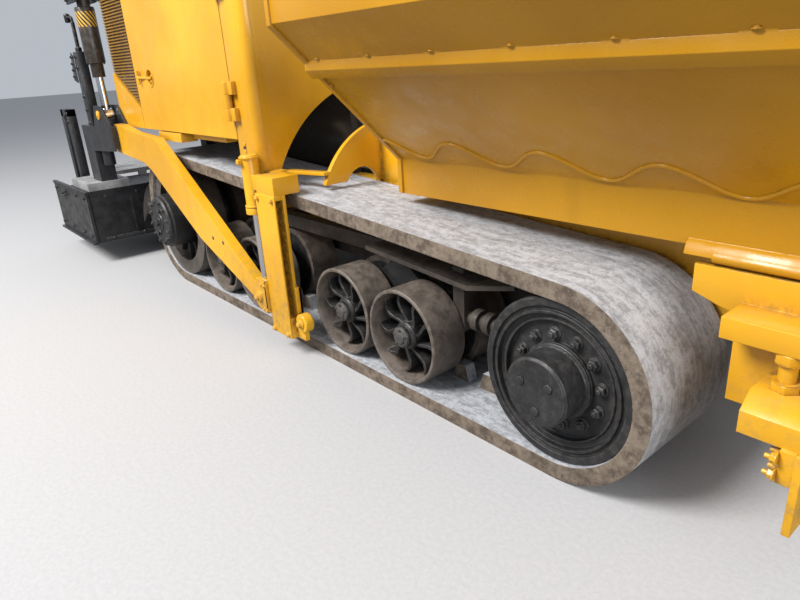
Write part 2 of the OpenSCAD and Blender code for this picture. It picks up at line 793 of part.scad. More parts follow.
module tow_arms() {
    y = [y_arm - arm_t / 2, y_arm + arm_t / 2];
    color([0.95, 0.72, 0.15]) both() {
        difference() {
            union() {
                plate_xz([y[0] + 0.6, y[1] - 0.6], [
                    [tow_pin_x + 20, tow_pin_z + 55],
                    [tow_pin_x - 70, tow_pin_z + 62],
                    [-wheelbase + 207, arm_top_z],
                    [-wheelbase - 150, arm_top_z + 17],
                    [x_lift + 240, arm_top_z + 55],
                    [x_lift + 110, arm_top_z + 55],
                    [x_lift + 110, arm_top_z - 125],
                    [-wheelbase - 48, arm_top_z - 160],
                    [-wheelbase + 70, arm_top_z - 200],
                    [-wheelbase + 654, arm_top_z - 530],
                    [tow_pin_x - 30, tow_pin_z - 52]
                ]);
                bar_y(tow_pin_x, [y[0] + 0.6, y[1] - 0.6], tow_pin_z, 54);
            }
            bar_y(tow_pin_x, [y[0] - 1, y[1] + 1], tow_pin_z, tow_pin_r + run);
        }
    }
}

// Screed
module screed_main() {
    xr = x_screed_front - screed_d;
    color([0.09, 0.09, 0.10]) {
        block([xr, x_screed_front], [-screed_half_w, screed_half_w], [screed_z0, screed_z1]);
        block([xr - slide_gap - 200, xr + 1], [-24, 24], [guide_z - 90, guide_z + 70]);
        bar_y(xr - slide_gap - 120, [-screed_half_w + 5, screed_half_w - 5], guide_z, guide_r);
        both() block([x_screed_front - 200, x_screed_front],
            [y_lift - ear_gap - ear_t, y_lift + ear_gap + ear_t], [screed_z1 - 1, 1010]);
        both() arm_brackets();
    }
}
module arm_brackets() {
    for (ye = [y_lift - ear_gap - ear_t, y_lift + ear_gap])
        difference() {
            plate_xz([ye, ye + ear_t], [
                [x_lift + 200, 860],
                [x_lift + 200, arm_top_z + 45],
                [x_lift + 80, lift_eye_z + 60],
                [x_lift - 80, lift_eye_z + 60],
                [x_lift - 160, 1010],
                [x_screed_front, 1010],
                [x_screed_front, 834]
            ]);
            bar_y(x_lift, [ye - 1, ye + ear_t + 1], lift_eye_z, 22);
        }
    block([x_lift + 120, x_lift + 190], [y_lift - ear_gap - 1, y_arm - arm_t / 2 + 0.6],
        [880, 1020]);
    block([x_lift + 120, x_lift + 190], [y_arm + arm_t / 2 - 0.6, y_lift + ear_gap + 1],
        [880, 1020]);
}
module extension() {
    x1 = x_screed_front - screed_d - slide_gap;
    x0 = x1 - ext_d;
    color([0.12, 0.12, 0.13]) {
        difference() {
            block([x0, x1], [30, screed_half_w], [screed_z0, screed_z1 - 60]);
            bar_y(x1 - 120, [29, screed_half_w + 1], guide_z, guide_r + run);
        }
        block([x0 + 40, x0 + 160], [screed_half_w - 1, screed_half_w + slide_gap - 0.3],
            [screed_z0 + 140, screed_z1 - 90]);
        block([x1 - 200, x1], [screed_half_w - 260, screed_half_w - 20], [screed_z1 - 61, 1500]);
        bar_z(x1 - 100, screed_half_w - 90, [1500, 1700], 10);
    }
}
module end_gate() {
    x1 = x_screed_front - screed_d - slide_gap;
    color([0.10, 0.10, 0.11])
        block([x1 - ext_d - 50, x_screed_front + 5],
            [screed_half_w + slide_gap, screed_half_w + slide_gap + gate_t],
            [screed_z0 - 5, screed_z1]);
}
module screed_walkway() {
    x1 = x_screed_front - screed_d;
    color([0.18, 0.18, 0.19]) {
        block([x1 - ext_d - 60, x1 + 40], [-1180, 1180], [screed_z1 + 30, screed_z1 + 60]);
        both() for (y = [300, 900])
            block([x1, x1 + 40], [y, y + 60], [screed_z1, screed_z1 + 31]);
    }
}

// Lift cylinders
module lift_housings() {
    yi = y_lift - ear_gap - ear_t - 8;
    yo = y_lift + ear_gap + ear_t + 8;
    color([0.16, 0.14, 0.12]) both() {
        block([x_body_rear - 330, x_body_rear - 4], [yo, yo + 10], [1340, body_z1]);
        block([x_body_rear - 330, x_body_rear - 0.3], [yi - 10, yi], [1340, body_z1]);
        block([x_body_rear - 330, x_body_rear - 0.3], [yi - 10, yo + 10], [body_z1 - 20, body_z1]);
        bar_y(x_lift, [yi - 1, yo + 1], lift_top_z, 20);
    }
}
module lift_barrel() {
    color([0.14, 0.14, 0.14])
        difference() {
            union() {
                bar_z(x_lift, y_lift, [1330, lift_top_z - 30], lift_barrel_r);
                bar_y(x_lift, [y_lift - 30, y_lift + 30], lift_top_z, 38);
            }
            bar_y(x_lift, [y_lift - 31, y_lift + 31], lift_top_z, 20 + run);
            bar_z(x_lift, y_lift, [1329, lift_top_z - 60], lift_rod_r + 0.3);
        }
}
module lift_rod() {
    color([0.85, 0.86, 0.88])
        difference() {
            union() {
                bar_z(x_lift, y_lift, [lift_eye_z, 1600], lift_rod_r);
                bar_y(x_lift, [y_lift - 30, y_lift + 30], lift_eye_z, 42);
            }
            bar_y(x_lift, [y_lift - 31, y_lift + 31], lift_eye_z, 22);
        }
}

// Augers
module auger() {
    color([0.22, 0.21, 0.20]) {
        bar_y(x_auger, [4, auger_y1], auger_z, 45);
        for (y = [auger_y1 - 12 : -flight_pitch : 90])
            bar_y(x_auger, [y, y + 12], auger_z, auger_r);
    }
}
module auger_frame() {
    color([0.14, 0.14, 0.14]) {
        difference() {
            union() {
                block([x_auger - 60, x_auger + 60], [-30, 30], [auger_z, floor_z + 60]);
                bar_y(x_auger, [-60, 60], auger_z, 75);
            }
            bar_y(x_auger, [-61, 61], auger_z, 45 + run);
        }
        block([x_auger - 60, x_body_rear + 110], [-60, 60], [floor_z + 60, floor_z + 100]);
    }
}

placed() main_frame();
placed() {
    track_frames();
    belt_guards();
}
placed() on_side(-1) belt();  // belt_right
placed() on_side(1) belt();  // belt_left
placed() front_wheels();
placed() drive_wheels();
placed() bogie_frames();
placed() bogie_wheels();
placed() final_drives();
placed() bulkhead();
placed() on_side(-1) wing();  // hopper_wing_right
placed() on_side(1) wing();  // hopper_wing_left
placed() {  // conveyors
    conveyor_floor();
    conveyor_slats();
}
placed() push_beam();
placed() on_side(-1) push_roller();  // push_roller_right
placed() on_side(1) push_roller();  // push_roller_left
placed() belt_deflectors();
placed() {
    engine();
    exhaust();
}
placed() body_shell();
placed() on_side(-1) side_door();  // side_door_right
placed() on_side(1) side_door();  // side_door_left
placed() side_grilles();
placed() hood();
placed() operator_deck();
placed() {  // operator_stations
    operator_seats();
    consoles();
}
placed() steering_wheel();
placed() canopy();
placed() {
    tow_columns();
    tow_barrels();
}
placed() on_side(-1) tow_slider();  // tow_slider_right
placed() on_side(1) tow_slider();  // tow_slider_left
placed() tow_arms();
placed() screed_main();
placed() on_side(-1) extension();  // screed_extension_right
placed() on_side(1) extension();  // screed_extension_left
placed() on_side(-1) end_gate();  // end_gate_right
placed() on_side(1) end_gate();  // end_gate_left
placed() screed_walkway();
placed() lift_housings();
placed() on_side(-1) lift_barrel();  // lift_barrel_right
placed() on_side(1) lift_barrel();  // lift_barrel_left
placed() on_side(-1) lift_rod();  // lift_rod_right
placed() on_side(1) lift_rod();  // lift_rod_left
placed() on_side(-1) auger();  // auger_right
placed() on_side(1) auger();  // auger_left
placed() auger_frame();
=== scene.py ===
from itertools import product
from math import copysign, cos, exp, pi, radians, sin, sqrt

import bmesh
import bpy
from mathutils import Matrix, Vector


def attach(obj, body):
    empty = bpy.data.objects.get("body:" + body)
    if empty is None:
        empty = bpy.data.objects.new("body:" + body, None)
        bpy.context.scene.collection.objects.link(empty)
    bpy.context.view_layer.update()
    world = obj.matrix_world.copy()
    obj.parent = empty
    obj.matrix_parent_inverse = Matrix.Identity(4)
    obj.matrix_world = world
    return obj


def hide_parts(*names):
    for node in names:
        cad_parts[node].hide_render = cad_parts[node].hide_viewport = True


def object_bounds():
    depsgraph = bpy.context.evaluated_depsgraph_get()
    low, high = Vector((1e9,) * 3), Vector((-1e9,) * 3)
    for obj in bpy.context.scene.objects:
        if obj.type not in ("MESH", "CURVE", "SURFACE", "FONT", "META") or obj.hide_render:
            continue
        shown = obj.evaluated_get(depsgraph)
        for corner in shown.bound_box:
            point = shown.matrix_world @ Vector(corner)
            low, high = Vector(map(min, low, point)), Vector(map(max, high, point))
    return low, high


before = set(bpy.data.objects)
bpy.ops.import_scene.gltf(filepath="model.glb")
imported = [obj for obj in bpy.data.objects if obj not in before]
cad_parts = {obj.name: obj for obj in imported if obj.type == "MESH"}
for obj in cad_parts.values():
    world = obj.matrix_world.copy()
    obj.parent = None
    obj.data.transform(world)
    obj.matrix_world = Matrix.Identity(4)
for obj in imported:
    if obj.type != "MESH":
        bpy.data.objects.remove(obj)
CAD_BOX = [list(v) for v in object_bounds()]
scene = bpy.context.scene

# Places are in millimetres: x from the front belt wheel's axle, y to the machine's left, z up.
AXLE_TO_NOSE = 1150.0
X_SHIFT = CAD_BOX[1][0] * 1000.0 - AXLE_TO_NOSE
SIDES = ((-1, "right"), (1, "left"))
BOTH = (-1, 1)
ALONG, OUT, UP = (1, 0, 0), (0, 1, 0), (0, 0, 1)
BACK, DOWN = (-1, 0, 0), (0, 0, -1)
FRONT_Z = 345
FRONT_R = 285
DRIVE_X, DRIVE_Z = -3000, 435
BOGIE_Z = 265
BOGIE_X = [middle + d * 210.0 for middle in (-970.0, -2222.0) for d in BOTH]
LIFT_X, LIFT_Y = -3640, 1323
DECK_Z = 2000.3


def X(x):
    return (x + X_SHIFT) / 1000.0


def P(x, y, z):
    return Vector((X(x), y / 1000.0, z / 1000.0))


def in_scene(name, data):
    ob = bpy.data.objects.new(name, data)
    scene.collection.objects.link(ob)
    return ob


def made(bm, name):
    me = bpy.data.meshes.new(name)
    bm.to_mesh(me)
    bm.free()
    return me


def circle(count, start=0.0):
    return [start + 2.0 * pi * k / count for k in range(count)]


# Camera at the photograph's viewing angle
cam_data = bpy.data.cameras.new("camera")
cam_data.sensor_width = 36.0
cam_data.lens = 28.23
cam_data.clip_end = 200.0
camera = in_scene("camera", cam_data)
right = Vector((0.6475, 0.7598, -0.0585))
up = Vector((-0.2399, 0.2761, 0.9307))
back = right.cross(up).normalized()
up = back.cross(right).normalized()
turn = Matrix((right.normalized(), up, back)).transposed().to_4x4()
camera.matrix_world = Matrix.Translation((X(1068), -2.680, 1.341)) @ turn
scene.camera = camera


# Node trees: each method adds one step of a material and returns its output socket
class Tree:
    def __init__(self, name):
        self.mat = bpy.data.materials.new(name)
        self.mat.use_nodes = True
        self.nt = self.mat.node_tree
        self.nt.nodes.clear()
        self.bsdf = self.nt.nodes.new("ShaderNodeBsdfPrincipled")
        out = self.nt.nodes.new("ShaderNodeOutputMaterial")
        self.put(out.inputs[0], self.bsdf.outputs[0])
        self.coord = self.node("TexCoord", {}, "Object")

    def put(self, socket, value):
        if isinstance(value, bpy.types.NodeSocket):
            self.nt.links.new(value, socket)
        elif isinstance(value, tuple) and len(value) == 3 and len(socket.default_value) == 4:
            socket.default_value = (*value, 1.0)
        else:
            socket.default_value = value

    def node(self, kind, inputs, out=0, **settings):
        n = self.nt.nodes.new("ShaderNode" + kind)
        for key, value in settings.items():
            setattr(n, key, value)
        for key, value in inputs.items():
            self.put(n.inputs[key], value)
        return n.outputs[out]

    def scaled(self, x, y, z):
        return self.node("Mapping", {"Vector": self.coord, "Scale": (x, y, z)})

    def noise(self, scale, detail, rough=0.55, vec=None, distortion=0.0):
        return self.node("TexNoise", {
            "Vector": vec or self.coord, "Scale": scale, "Detail": detail, "Roughness": rough,
            "Distortion": distortion})

    def voronoi(self, scale):
        return self.node("TexVoronoi", {"Vector": self.coord, "Scale": scale}, "Distance")

    def step(self, value, lo, hi, a=0.0, b=1.0):
        inputs = {0: value, 1: lo, 2: hi, 3: a, 4: b}
        return self.node("MapRange", inputs, interpolation_type="SMOOTHSTEP")

    def spots(self, scale, detail, rough, lo, hi, vec=None):
        return self.step(self.noise(scale, detail, rough, vec), lo, hi)

    def math(self, operation, a, b=0.0):
        return self.node("Math", {0: a, 1: b}, operation=operation)

    def mul(self, a, b):
        return self.math("MULTIPLY", a, b)

    def sum(self, a, b):
        return self.math("ADD", a, b)

    def less(self, a, b):
        return self.math("SUBTRACT", a, b)

    def most(self, a, b):
        return self.math("MAXIMUM", a, b)

    def size(self, a):
        return self.math("ABSOLUTE", a)

    def mix(self, fac, a, b):
        return self.node("Mix", {0: fac, 6: a, 7: b}, 2, data_type="RGBA", blend_type="MIX")

    def over(self, below, color, mask, amount):
        return self.mix(self.mul(mask, amount), below, color)

    def part(self, vec, axis):
        return self.node("SeparateXYZ", {0: vec}, axis)

    def normal(self):
        return self.node("NewGeometry", {}, "Normal")

    def rounded(self, radius):
        return self.node("Bevel", {0: radius}, samples=4)

    def edges(self, radius, lo=0.995, hi=0.93):
        inputs = {0: self.rounded(radius), 1: self.normal()}
        dot = self.node("VectorMath", inputs, "Value", operation="DOT_PRODUCT")
        return self.step(dot, hi, lo, 1.0, 0.0)

    # Ambient occlusion mask, strong in hollows where shade falls; colour darkened with it is
    # painted shade
    def hollows(self, distance, lo, hi):
        ao = self.node("AmbientOcclusion", {"Distance": distance}, "AO", samples=4)
        return self.step(ao, lo, hi, 1.0, 0.0)

    def bump(self, height, distance, strength, bevel=0.0, under=None):
        inputs = {"Strength": strength, "Distance": distance, "Height": height}
        if bevel:
            under = self.rounded(bevel)
        if under:
            inputs["Normal"] = under
        return self.node("Bump", inputs)

    def finish(self, color, rough, bump=None, metal=0.0, coat=0.0, coat_rough=0.1):
        for key, value in (("Base Color", color), ("Roughness", rough), ("Metallic", metal),
                           ("Coat Weight", coat), ("Coat Roughness", coat_rough), ("Normal", bump)):
            if value is not None:
                self.put(self.bsdf.inputs[key], value)
        return self.mat


def shade(color, k):
    return tuple(v * k for v in color)


GRIME_AND_SHADE = (0.075, 0.050, 0.026)
DUST = (0.40, 0.31, 0.20)
MUD = (0.24, 0.17, 0.09)
CHIPPED = (0.070, 0.048, 0.034)
RUBBED = (0.21, 0.19, 0.17)


# Yellow paint with grime and painted shade in hollows, dust on top, chipped edges and a painted
# highlight on rounded edges; low_z: mud below that height;
# inside: near-black painted shade within that half width; lined: worn steel on faces that look
# inwards
def paint(name, base, dark, dirt, chips, rough=0.3, coat=0.25, low_z=0.0, inside=0.0, lined=False):
    t = Tree(name)
    c = t.mix(t.spots(1.3, 3.0, 0.55, 0.35, 0.68), base, dark)
    streak = t.spots(6.0, 5.0, 0.6, 0.55, 0.78, t.scaled(1.0, 1.0, 0.12))
    c = t.over(c, shade(dark, 0.70), streak, 0.30)
    speck = t.noise(38.0, 6.0, 0.7)
    # Spotty brown darkening in hollows: grime together with painted shade
    hollow = t.mul(t.hollows(0.08, 0.25, 0.80), t.step(speck, 0.36, 0.62))
    c = t.over(c, GRIME_AND_SHADE, hollow, dirt * 1.8)
    flat = t.step(t.part(t.normal(), "Z"), 0.75, 1.0)
    c = t.over(c, DUST, t.mul(flat, t.spots(9.0, 6.0, 0.65, 0.40, 0.72)), dirt * 0.6)
    if low_z:
        low = t.step(t.part(t.coord, "Z"), low_z, 0.02)
        c = t.over(c, MUD, t.mul(low, t.spots(21.0, 8.0, 0.75, 0.46, 0.64)), 0.55)
    edge = t.edges(0.004)
    chip = t.mul(edge, t.spots(55.0, 5.0, 0.7, 0.58, 0.64))
    chip = t.most(chip, t.mul(t.spots(23.0, 8.0, 0.72, 0.712, 0.726), chips * 0.7))
    c = t.over(c, CHIPPED, chip, chips)
    # Rounded edges a little lighter yellow: a painted highlight
    c = t.over(c, tuple(min(1.0, v * 1.2 + 0.02) for v in base), edge, 0.15)
    r = t.step(t.noise(14.0, 5.0), 0.3, 0.75, rough - 0.08, rough + 0.16)
    r = t.sum(r, t.mul(t.most(chip, hollow), 0.35))
    # Inside the given half width the colour goes near black: painted shade of the interior
    if inside:
        deep = t.step(t.size(t.part(t.coord, "Y")), inside, inside - 0.004)
        inner_shade = t.mix(t.step(speck, 0.35, 0.65), (0.006, 0.005, 0.005), (0.020, 0.016, 0.012))
        c = t.mix(deep, c, inner_shade)
        r = t.most(r, t.mul(deep, 0.75))
    if lined:
        inward = t.step(t.mul(t.part(t.normal(), "Y"), t.part(t.coord, "Y")), -0.15, -0.35)
        worn = t.spots(7.0, 9.0, 0.7, 0.36, 0.62, t.scaled(1.0, 0.35, 0.35))
        steel = t.mix(worn, (0.045, 0.038, 0.034), (0.26, 0.235, 0.21))
        steel = t.over(steel, (0.014, 0.013, 0.013), t.step(speck, 0.55, 0.64), 0.6)
        c = t.mix(inward, c, steel)
        r = t.most(r, t.mul(inward, 0.58))
    peel = t.bump(t.noise(2.6, 2.0), 0.012, 0.35, bevel=0.003)
    peel = t.bump(t.noise(160.0, 3.0), 0.0006, 0.6, under=peel)
    return t.finish(c, r, peel, coat=coat, coat_rough=0.12)


def black_steel(name, base, dust, rough, brown):
    t = Tree(name)
    c = t.mix(t.spots(7.0, 5.0, 0.55, 0.35, 0.7), base, shade(base, 2.0))
    upward = t.step(t.part(t.normal(), "Z"), 0.1, 0.95, 0.25, 1.0)
    c = t.over(c, brown, t.mul(t.spots(26.0, 8.0, 0.72, 0.42, 0.66), upward), dust)
    c = t.over(c, RUBBED, t.mul(t.edges(0.004), t.spots(45.0, 6.0, 0.7, 0.45, 0.62)), 0.55)
    r = t.step(t.noise(18.0, 6.0), 0.3, 0.75, rough - 0.10, rough + 0.22)
    b = t.bump(t.noise(60.0, 6.0, 0.65), 0.0016, 0.7, bevel=0.003)
    return t.finish(c, r, b, coat=0.08, coat_rough=0.3)


def bare_steel(name, base, rough, metal, rust):
    t = Tree(name)
    scratch = t.noise(30.0, 6.0, 0.65, t.scaled(0.3, 1.0, 1.0))
    c = t.mix(t.step(scratch, 0.35, 0.7), base, shade(base, 0.55))
    stain = t.mul(t.spots(12.0, 7.0, 0.7, 0.52, 0.72), rust)
    c = t.mix(stain, c, (0.17, 0.085, 0.04))
    m = t.step(stain, 0.0, 0.6, metal, 0.1)
    r = t.step(scratch, 0.3, 0.75, rough - 0.1, rough + 0.2)
    return t.finish(c, r, t.bump(scratch, 0.0008, 0.6, bevel=0.002), m)


# The belt: pale worn running surface, brown edges
def belt_rubber():
    t = Tree("belt_rubber")
    along = t.scaled(1.0, 5.0, 1.0)
    mottle = t.noise(34.0, 9.0, 0.80, None, 0.4)
    fine = t.noise(150.0, 7.0, 0.8)
    worn = t.sum(t.mul(t.noise(7.0, 9.0, 0.78, along, 0.3), 0.45), t.mul(mottle, 0.55))
    top = t.mix(t.step(worn, 0.41, 0.57), (0.235, 0.243, 0.262), (0.485, 0.505, 0.545))
    top = t.over(top, (0.32, 0.29, 0.26), t.spots(5.5, 7.0, 0.65, 0.52, 0.68, along), 0.25)
    top = t.over(top, (0.66, 0.67, 0.70), t.step(fine, 0.54, 0.66), 0.65)
    top = t.over(top, (0.085, 0.085, 0.095), t.step(t.voronoi(120.0), 0.24, 0.08), 0.6)
    brown = t.spots(20.0, 9.0, 0.75, 0.38, 0.62)
    side = t.mix(brown, (0.085, 0.060, 0.044), (0.215, 0.170, 0.128))
    side = t.over(side, (0.30, 0.26, 0.215), t.spots(90.0, 7.0, 0.75, 0.55, 0.66), 0.5)
    c = t.mix(t.step(t.size(t.part(t.normal(), "Y")), 0.45, 0.75), top, side)
    edge = t.mul(t.edges(0.007, 0.995, 0.85), t.spots(30.0, 6.0, 0.7, 0.42, 0.62))
    c = t.mix(edge, c, (0.30, 0.225, 0.165))
    h = t.bump(t.sum(mottle, t.mul(fine, 0.5)), 0.004, 0.9, bevel=0.006)
    return t.finish(c, t.step(mottle, 0.3, 0.7, 0.62, 0.86), h)


# Wheel rubber; with centres given, all beyond rim_r from the nearest one has the rim's colour
def rubber(name, base, lip, dust, rough, centres=(), rim_r=0.0, rim=None):
    t = Tree(name)
    c = t.mix(t.spots(9.0, 6.0, 0.55, 0.35, 0.7), base, shade(base, 1.7))
    if centres:
        flat = t.node("VectorMath", {0: t.coord, 1: (1.0, 0.0, 1.0)}, operation="MULTIPLY")
        near = None
        for x, z in centres:
            d = t.node("VectorMath", {0: flat, 1: tuple(P(x, 0, z))}, "Value", operation="DISTANCE")
            near = t.math("MINIMUM", near, d) if near else d
        ring = t.step(near, rim_r - 0.003, rim_r + 0.003)
        c = t.mix(ring, c, t.mix(t.spots(20.0, 8.0, 0.7, 0.38, 0.62), shade(rim, 0.55), rim))
    c = t.over(c, (0.135, 0.115, 0.095), t.spots(30.0, 8.0, 0.72, 0.45, 0.68), dust)
    c = t.over(c, lip, t.mul(t.edges(0.005), t.spots(40.0, 6.0, 0.7, 0.38, 0.6)), 0.8)
    b = t.bump(t.noise(55.0, 7.0, 0.7), 0.002, 0.8, bevel=0.004)
    return t.finish(c, t.step(t.noise(20.0, 5.0), 0.3, 0.7, rough - 0.1, rough + 0.2), b)


def chrome():
    t = Tree("chrome_rod")
    fine = t.noise(80.0, 3.0, 0.5, t.scaled(1.0, 1.0, 0.1))
    c = t.mix(t.step(fine, 0.4, 0.7), (0.78, 0.79, 0.82), (0.60, 0.62, 0.66))
    return t.finish(c, t.step(fine, 0.3, 0.7, 0.08, 0.24), metal=1.0)


def vinyl():
    t = Tree("seat_vinyl")
    grain = t.voronoi(420.0)
    tone = t.spots(11.0, 5.0, 0.55, 0.35, 0.7)
    c = t.mix(tone, (0.022, 0.022, 0.024), (0.050, 0.049, 0.050))
    # Lighter grey on rounded edges: a painted highlight
    c = t.over(c, (0.12, 0.115, 0.11), t.edges(0.01, 0.99, 0.85), 0.35)
    r = t.step(grain, 0.0, 0.6, 0.42, 0.58)
    return t.finish(c, r, t.bump(grain, 0.0006, 0.5, bevel=0.012))


def smooth(name, base, other, rough, coat, grain=90.0):
    t = Tree(name)
    n = t.noise(grain, 5.0, 0.6)
    c = t.mix(t.spots(8.0, 5.0, 0.55, 0.35, 0.7), base, other)
    # Darker in hollows: painted shade
    c = t.over(c, shade(base, 0.35), t.hollows(0.03, 0.3, 0.85), 0.4)
    r = t.step(n, 0.3, 0.7, rough - 0.06, rough + 0.14)
    return t.finish(c, r, t.bump(n, 0.0004, 0.6, bevel=0.001), coat=coat)


# Lift cylinder: black with a band of slanted stripes round the barrel
def striped_barrel():
    t = Tree("lift_barrel_black")
    grit = t.spots(26.0, 8.0, 0.72, 0.42, 0.66)
    c = t.over((0.022, 0.020, 0.019), (0.11, 0.075, 0.05), grit, 0.55)
    x = t.less(t.part(t.coord, "X"), X(LIFT_X))
    y = t.less(t.size(t.part(t.coord, "Y")), LIFT_Y / 1000.0)
    z = t.part(t.coord, "Z")
    climb = t.sum(t.mul(t.math("ARCTAN2", x, y), 0.08), z)
    lean = t.math("FRACT", t.math("DIVIDE", climb, 0.034))
    stripe = t.step(t.size(t.less(lean, 0.5)), 0.25, 0.27)
    band = t.mul(t.step(z, 1.638, 1.640), t.step(z, 1.732, 1.730))
    c = t.mix(band, c, t.mix(stripe, (0.010, 0.010, 0.011), (0.62, 0.36, 0.03)))
    c = t.over(c, (0.12, 0.10, 0.08), t.mul(band, t.spots(60.0, 6.0, 0.7, 0.60, 0.68)), 0.6)
    c = t.over(c, RUBBED, t.mul(t.edges(0.004), t.spots(45.0, 6.0, 0.7, 0.45, 0.62)), 0.55)
    b = t.bump(t.noise(60.0, 6.0, 0.65), 0.0012, 0.7, bevel=0.003)
    r = t.step(t.noise(18.0, 6.0), 0.3, 0.75, 0.28, 0.52)
    return t.finish(c, r, b, coat=0.1, coat_rough=0.3)


YELLOW = (0.80, 0.420, 0.014)
GOLD = (0.64, 0.315, 0.008)
M = {
    "yellow": paint("machine_yellow", YELLOW, GOLD, 0.25, 0.4),
    "body": paint("body_yellow", YELLOW, GOLD, 0.25, 0.4, inside=1.217),
    # Hopper wings: the machine yellow darkened as painted shade for their down-sloping faces
    "shaded_yellow": paint("hopper_yellow_painted_shade", (0.565, 0.270, 0.003), (0.475, 0.218, 0.002), 0.35, 0.35,
                   coat=0.0, lined=True),
    "low": paint("worn_yellow", YELLOW, GOLD, 0.45, 0.7, 0.32, 0.22, 0.75),
    "grille": paint("grille_yellow", (0.34, 0.19, 0.04), (0.24, 0.125, 0.026), 0.7, 0.7),
    "black": black_steel("black_steel", (0.013, 0.013, 0.014), 0.22, 0.42, (0.075, 0.062, 0.050)),
    "bolt": black_steel("wheel_bolt_black", (0.020, 0.020, 0.021), 0.25, 0.36, (0.10, 0.085, 0.07)),
    "screed": black_steel("screed_black", (0.012, 0.012, 0.014), 0.16, 0.36, (0.09, 0.085, 0.08)),
    "plate": black_steel("scraper_plate", (0.040, 0.032, 0.026), 0.7, 0.6, (0.125, 0.10, 0.080)),
    "ledge": black_steel("grey_tread", (0.20, 0.20, 0.205), 0.5, 0.5, (0.34, 0.33, 0.31)),
    "engine": black_steel("engine_iron", (0.06, 0.06, 0.062), 0.5, 0.5, (0.10, 0.085, 0.068)),
    "steel": bare_steel("worn_steel", (0.36, 0.34, 0.32), 0.38, 0.85, 0.25),
    "capsteel": bare_steel("cap_steel", (0.16, 0.155, 0.15), 0.42, 0.6, 0.35),
    "dark": bare_steel("auger_steel", (0.10, 0.094, 0.088), 0.5, 0.7, 0.5),
    "chrome": chrome(),
    "seat": vinyl(),
    "barrel": striped_barrel(),
    "cabinet": smooth("console_grey", (0.070, 0.070, 0.072), (0.095, 0.094, 0.092), 0.45, 0.1),
    "panel": smooth("panel_black", (0.018, 0.018, 0.019), (0.030, 0.030, 0.031), 0.38, 0.1),
    "plastic": smooth("moulded_black", (0.015, 0.015, 0.016), (0.028, 0.028, 0.029), 0.48, 0.0,
                      220.0),
    "dial": smooth("dial_glass", (0.045, 0.050, 0.052), (0.065, 0.070, 0.072), 0.08, 0.8),
    "red": smooth("stop_red", (0.50, 0.020, 0.014), (0.40, 0.014, 0.010), 0.28, 0.3),
    "lens": smooth("lamp_lens", (0.62, 0.65, 0.68), (0.50, 0.53, 0.56), 0.10, 0.9),
    "belt": belt_rubber(),
    "wheel": rubber("wheel_black", (0.014, 0.0145, 0.016), (0.10, 0.092, 0.084), 0.22, 0.42),
    "bogie": rubber("bogie_wheel", (0.010, 0.010, 0.011), (0.20, 0.18, 0.16), 0.22, 0.5,
                    [(x, BOGIE_Z) for x in BOGIE_X], 0.180, (0.145, 0.118, 0.098)),
    "drive": rubber("drive_wheel", (0.011, 0.011, 0.012), (0.12, 0.11, 0.10), 0.25, 0.5,
                    [(DRIVE_X, DRIVE_Z)], 0.285, (0.10, 0.083, 0.070)),
}

# Which nodes have which material; the rest are plain yellow
LOOKS = {
    "belt": "belt_right belt_left", "wheel": "front_wheels", "drive": "drive_wheels",
    "bogie": "bogie_wheels", "plate": "track_frames", "body": "body_shell", "engine": "engine",
    "grille": "side_grilles", "steel": "conveyors", "ledge": "screed_walkway",
    "black": "bogie_frames final_drives operator_deck lift_housings auger_frame",
    "low": "main_frame belt_deflectors tow_columns tow_slider_right tow_slider_left tow_arms",
    "shaded_yellow": "hopper_wing_right hopper_wing_left",
    "dark": "push_roller_right push_roller_left auger_right auger_left",
    "seat": "operator_stations steering_wheel",
    "screed": "screed_main screed_extension_right screed_extension_left "
              "end_gate_right end_gate_left",
    "barrel": "lift_barrel_right lift_barrel_left", "chrome": "lift_rod_right lift_rod_left",
}
LOOK = {node: look for look, nodes in LOOKS.items() for node in nodes.split()}
for name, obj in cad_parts.items():
    mat = M[LOOK.get(name, "yellow")]
    if not obj.material_slots:
        obj.data.materials.append(mat)
    for s in obj.material_slots:
        s.material = mat

BOX_FACES = [(0, 1, 3, 2), (4, 6, 7, 5), (0, 4, 5, 1), (2, 3, 7, 6), (0, 2, 6, 4), (1, 5, 7, 3)]


def prism_faces(n):
    return [tuple(range(n)), tuple(range(2 * n - 1, n - 1, -1))] + [
        (i, (i + 1) % n, n + (i + 1) % n, n + i) for i in range(n)]


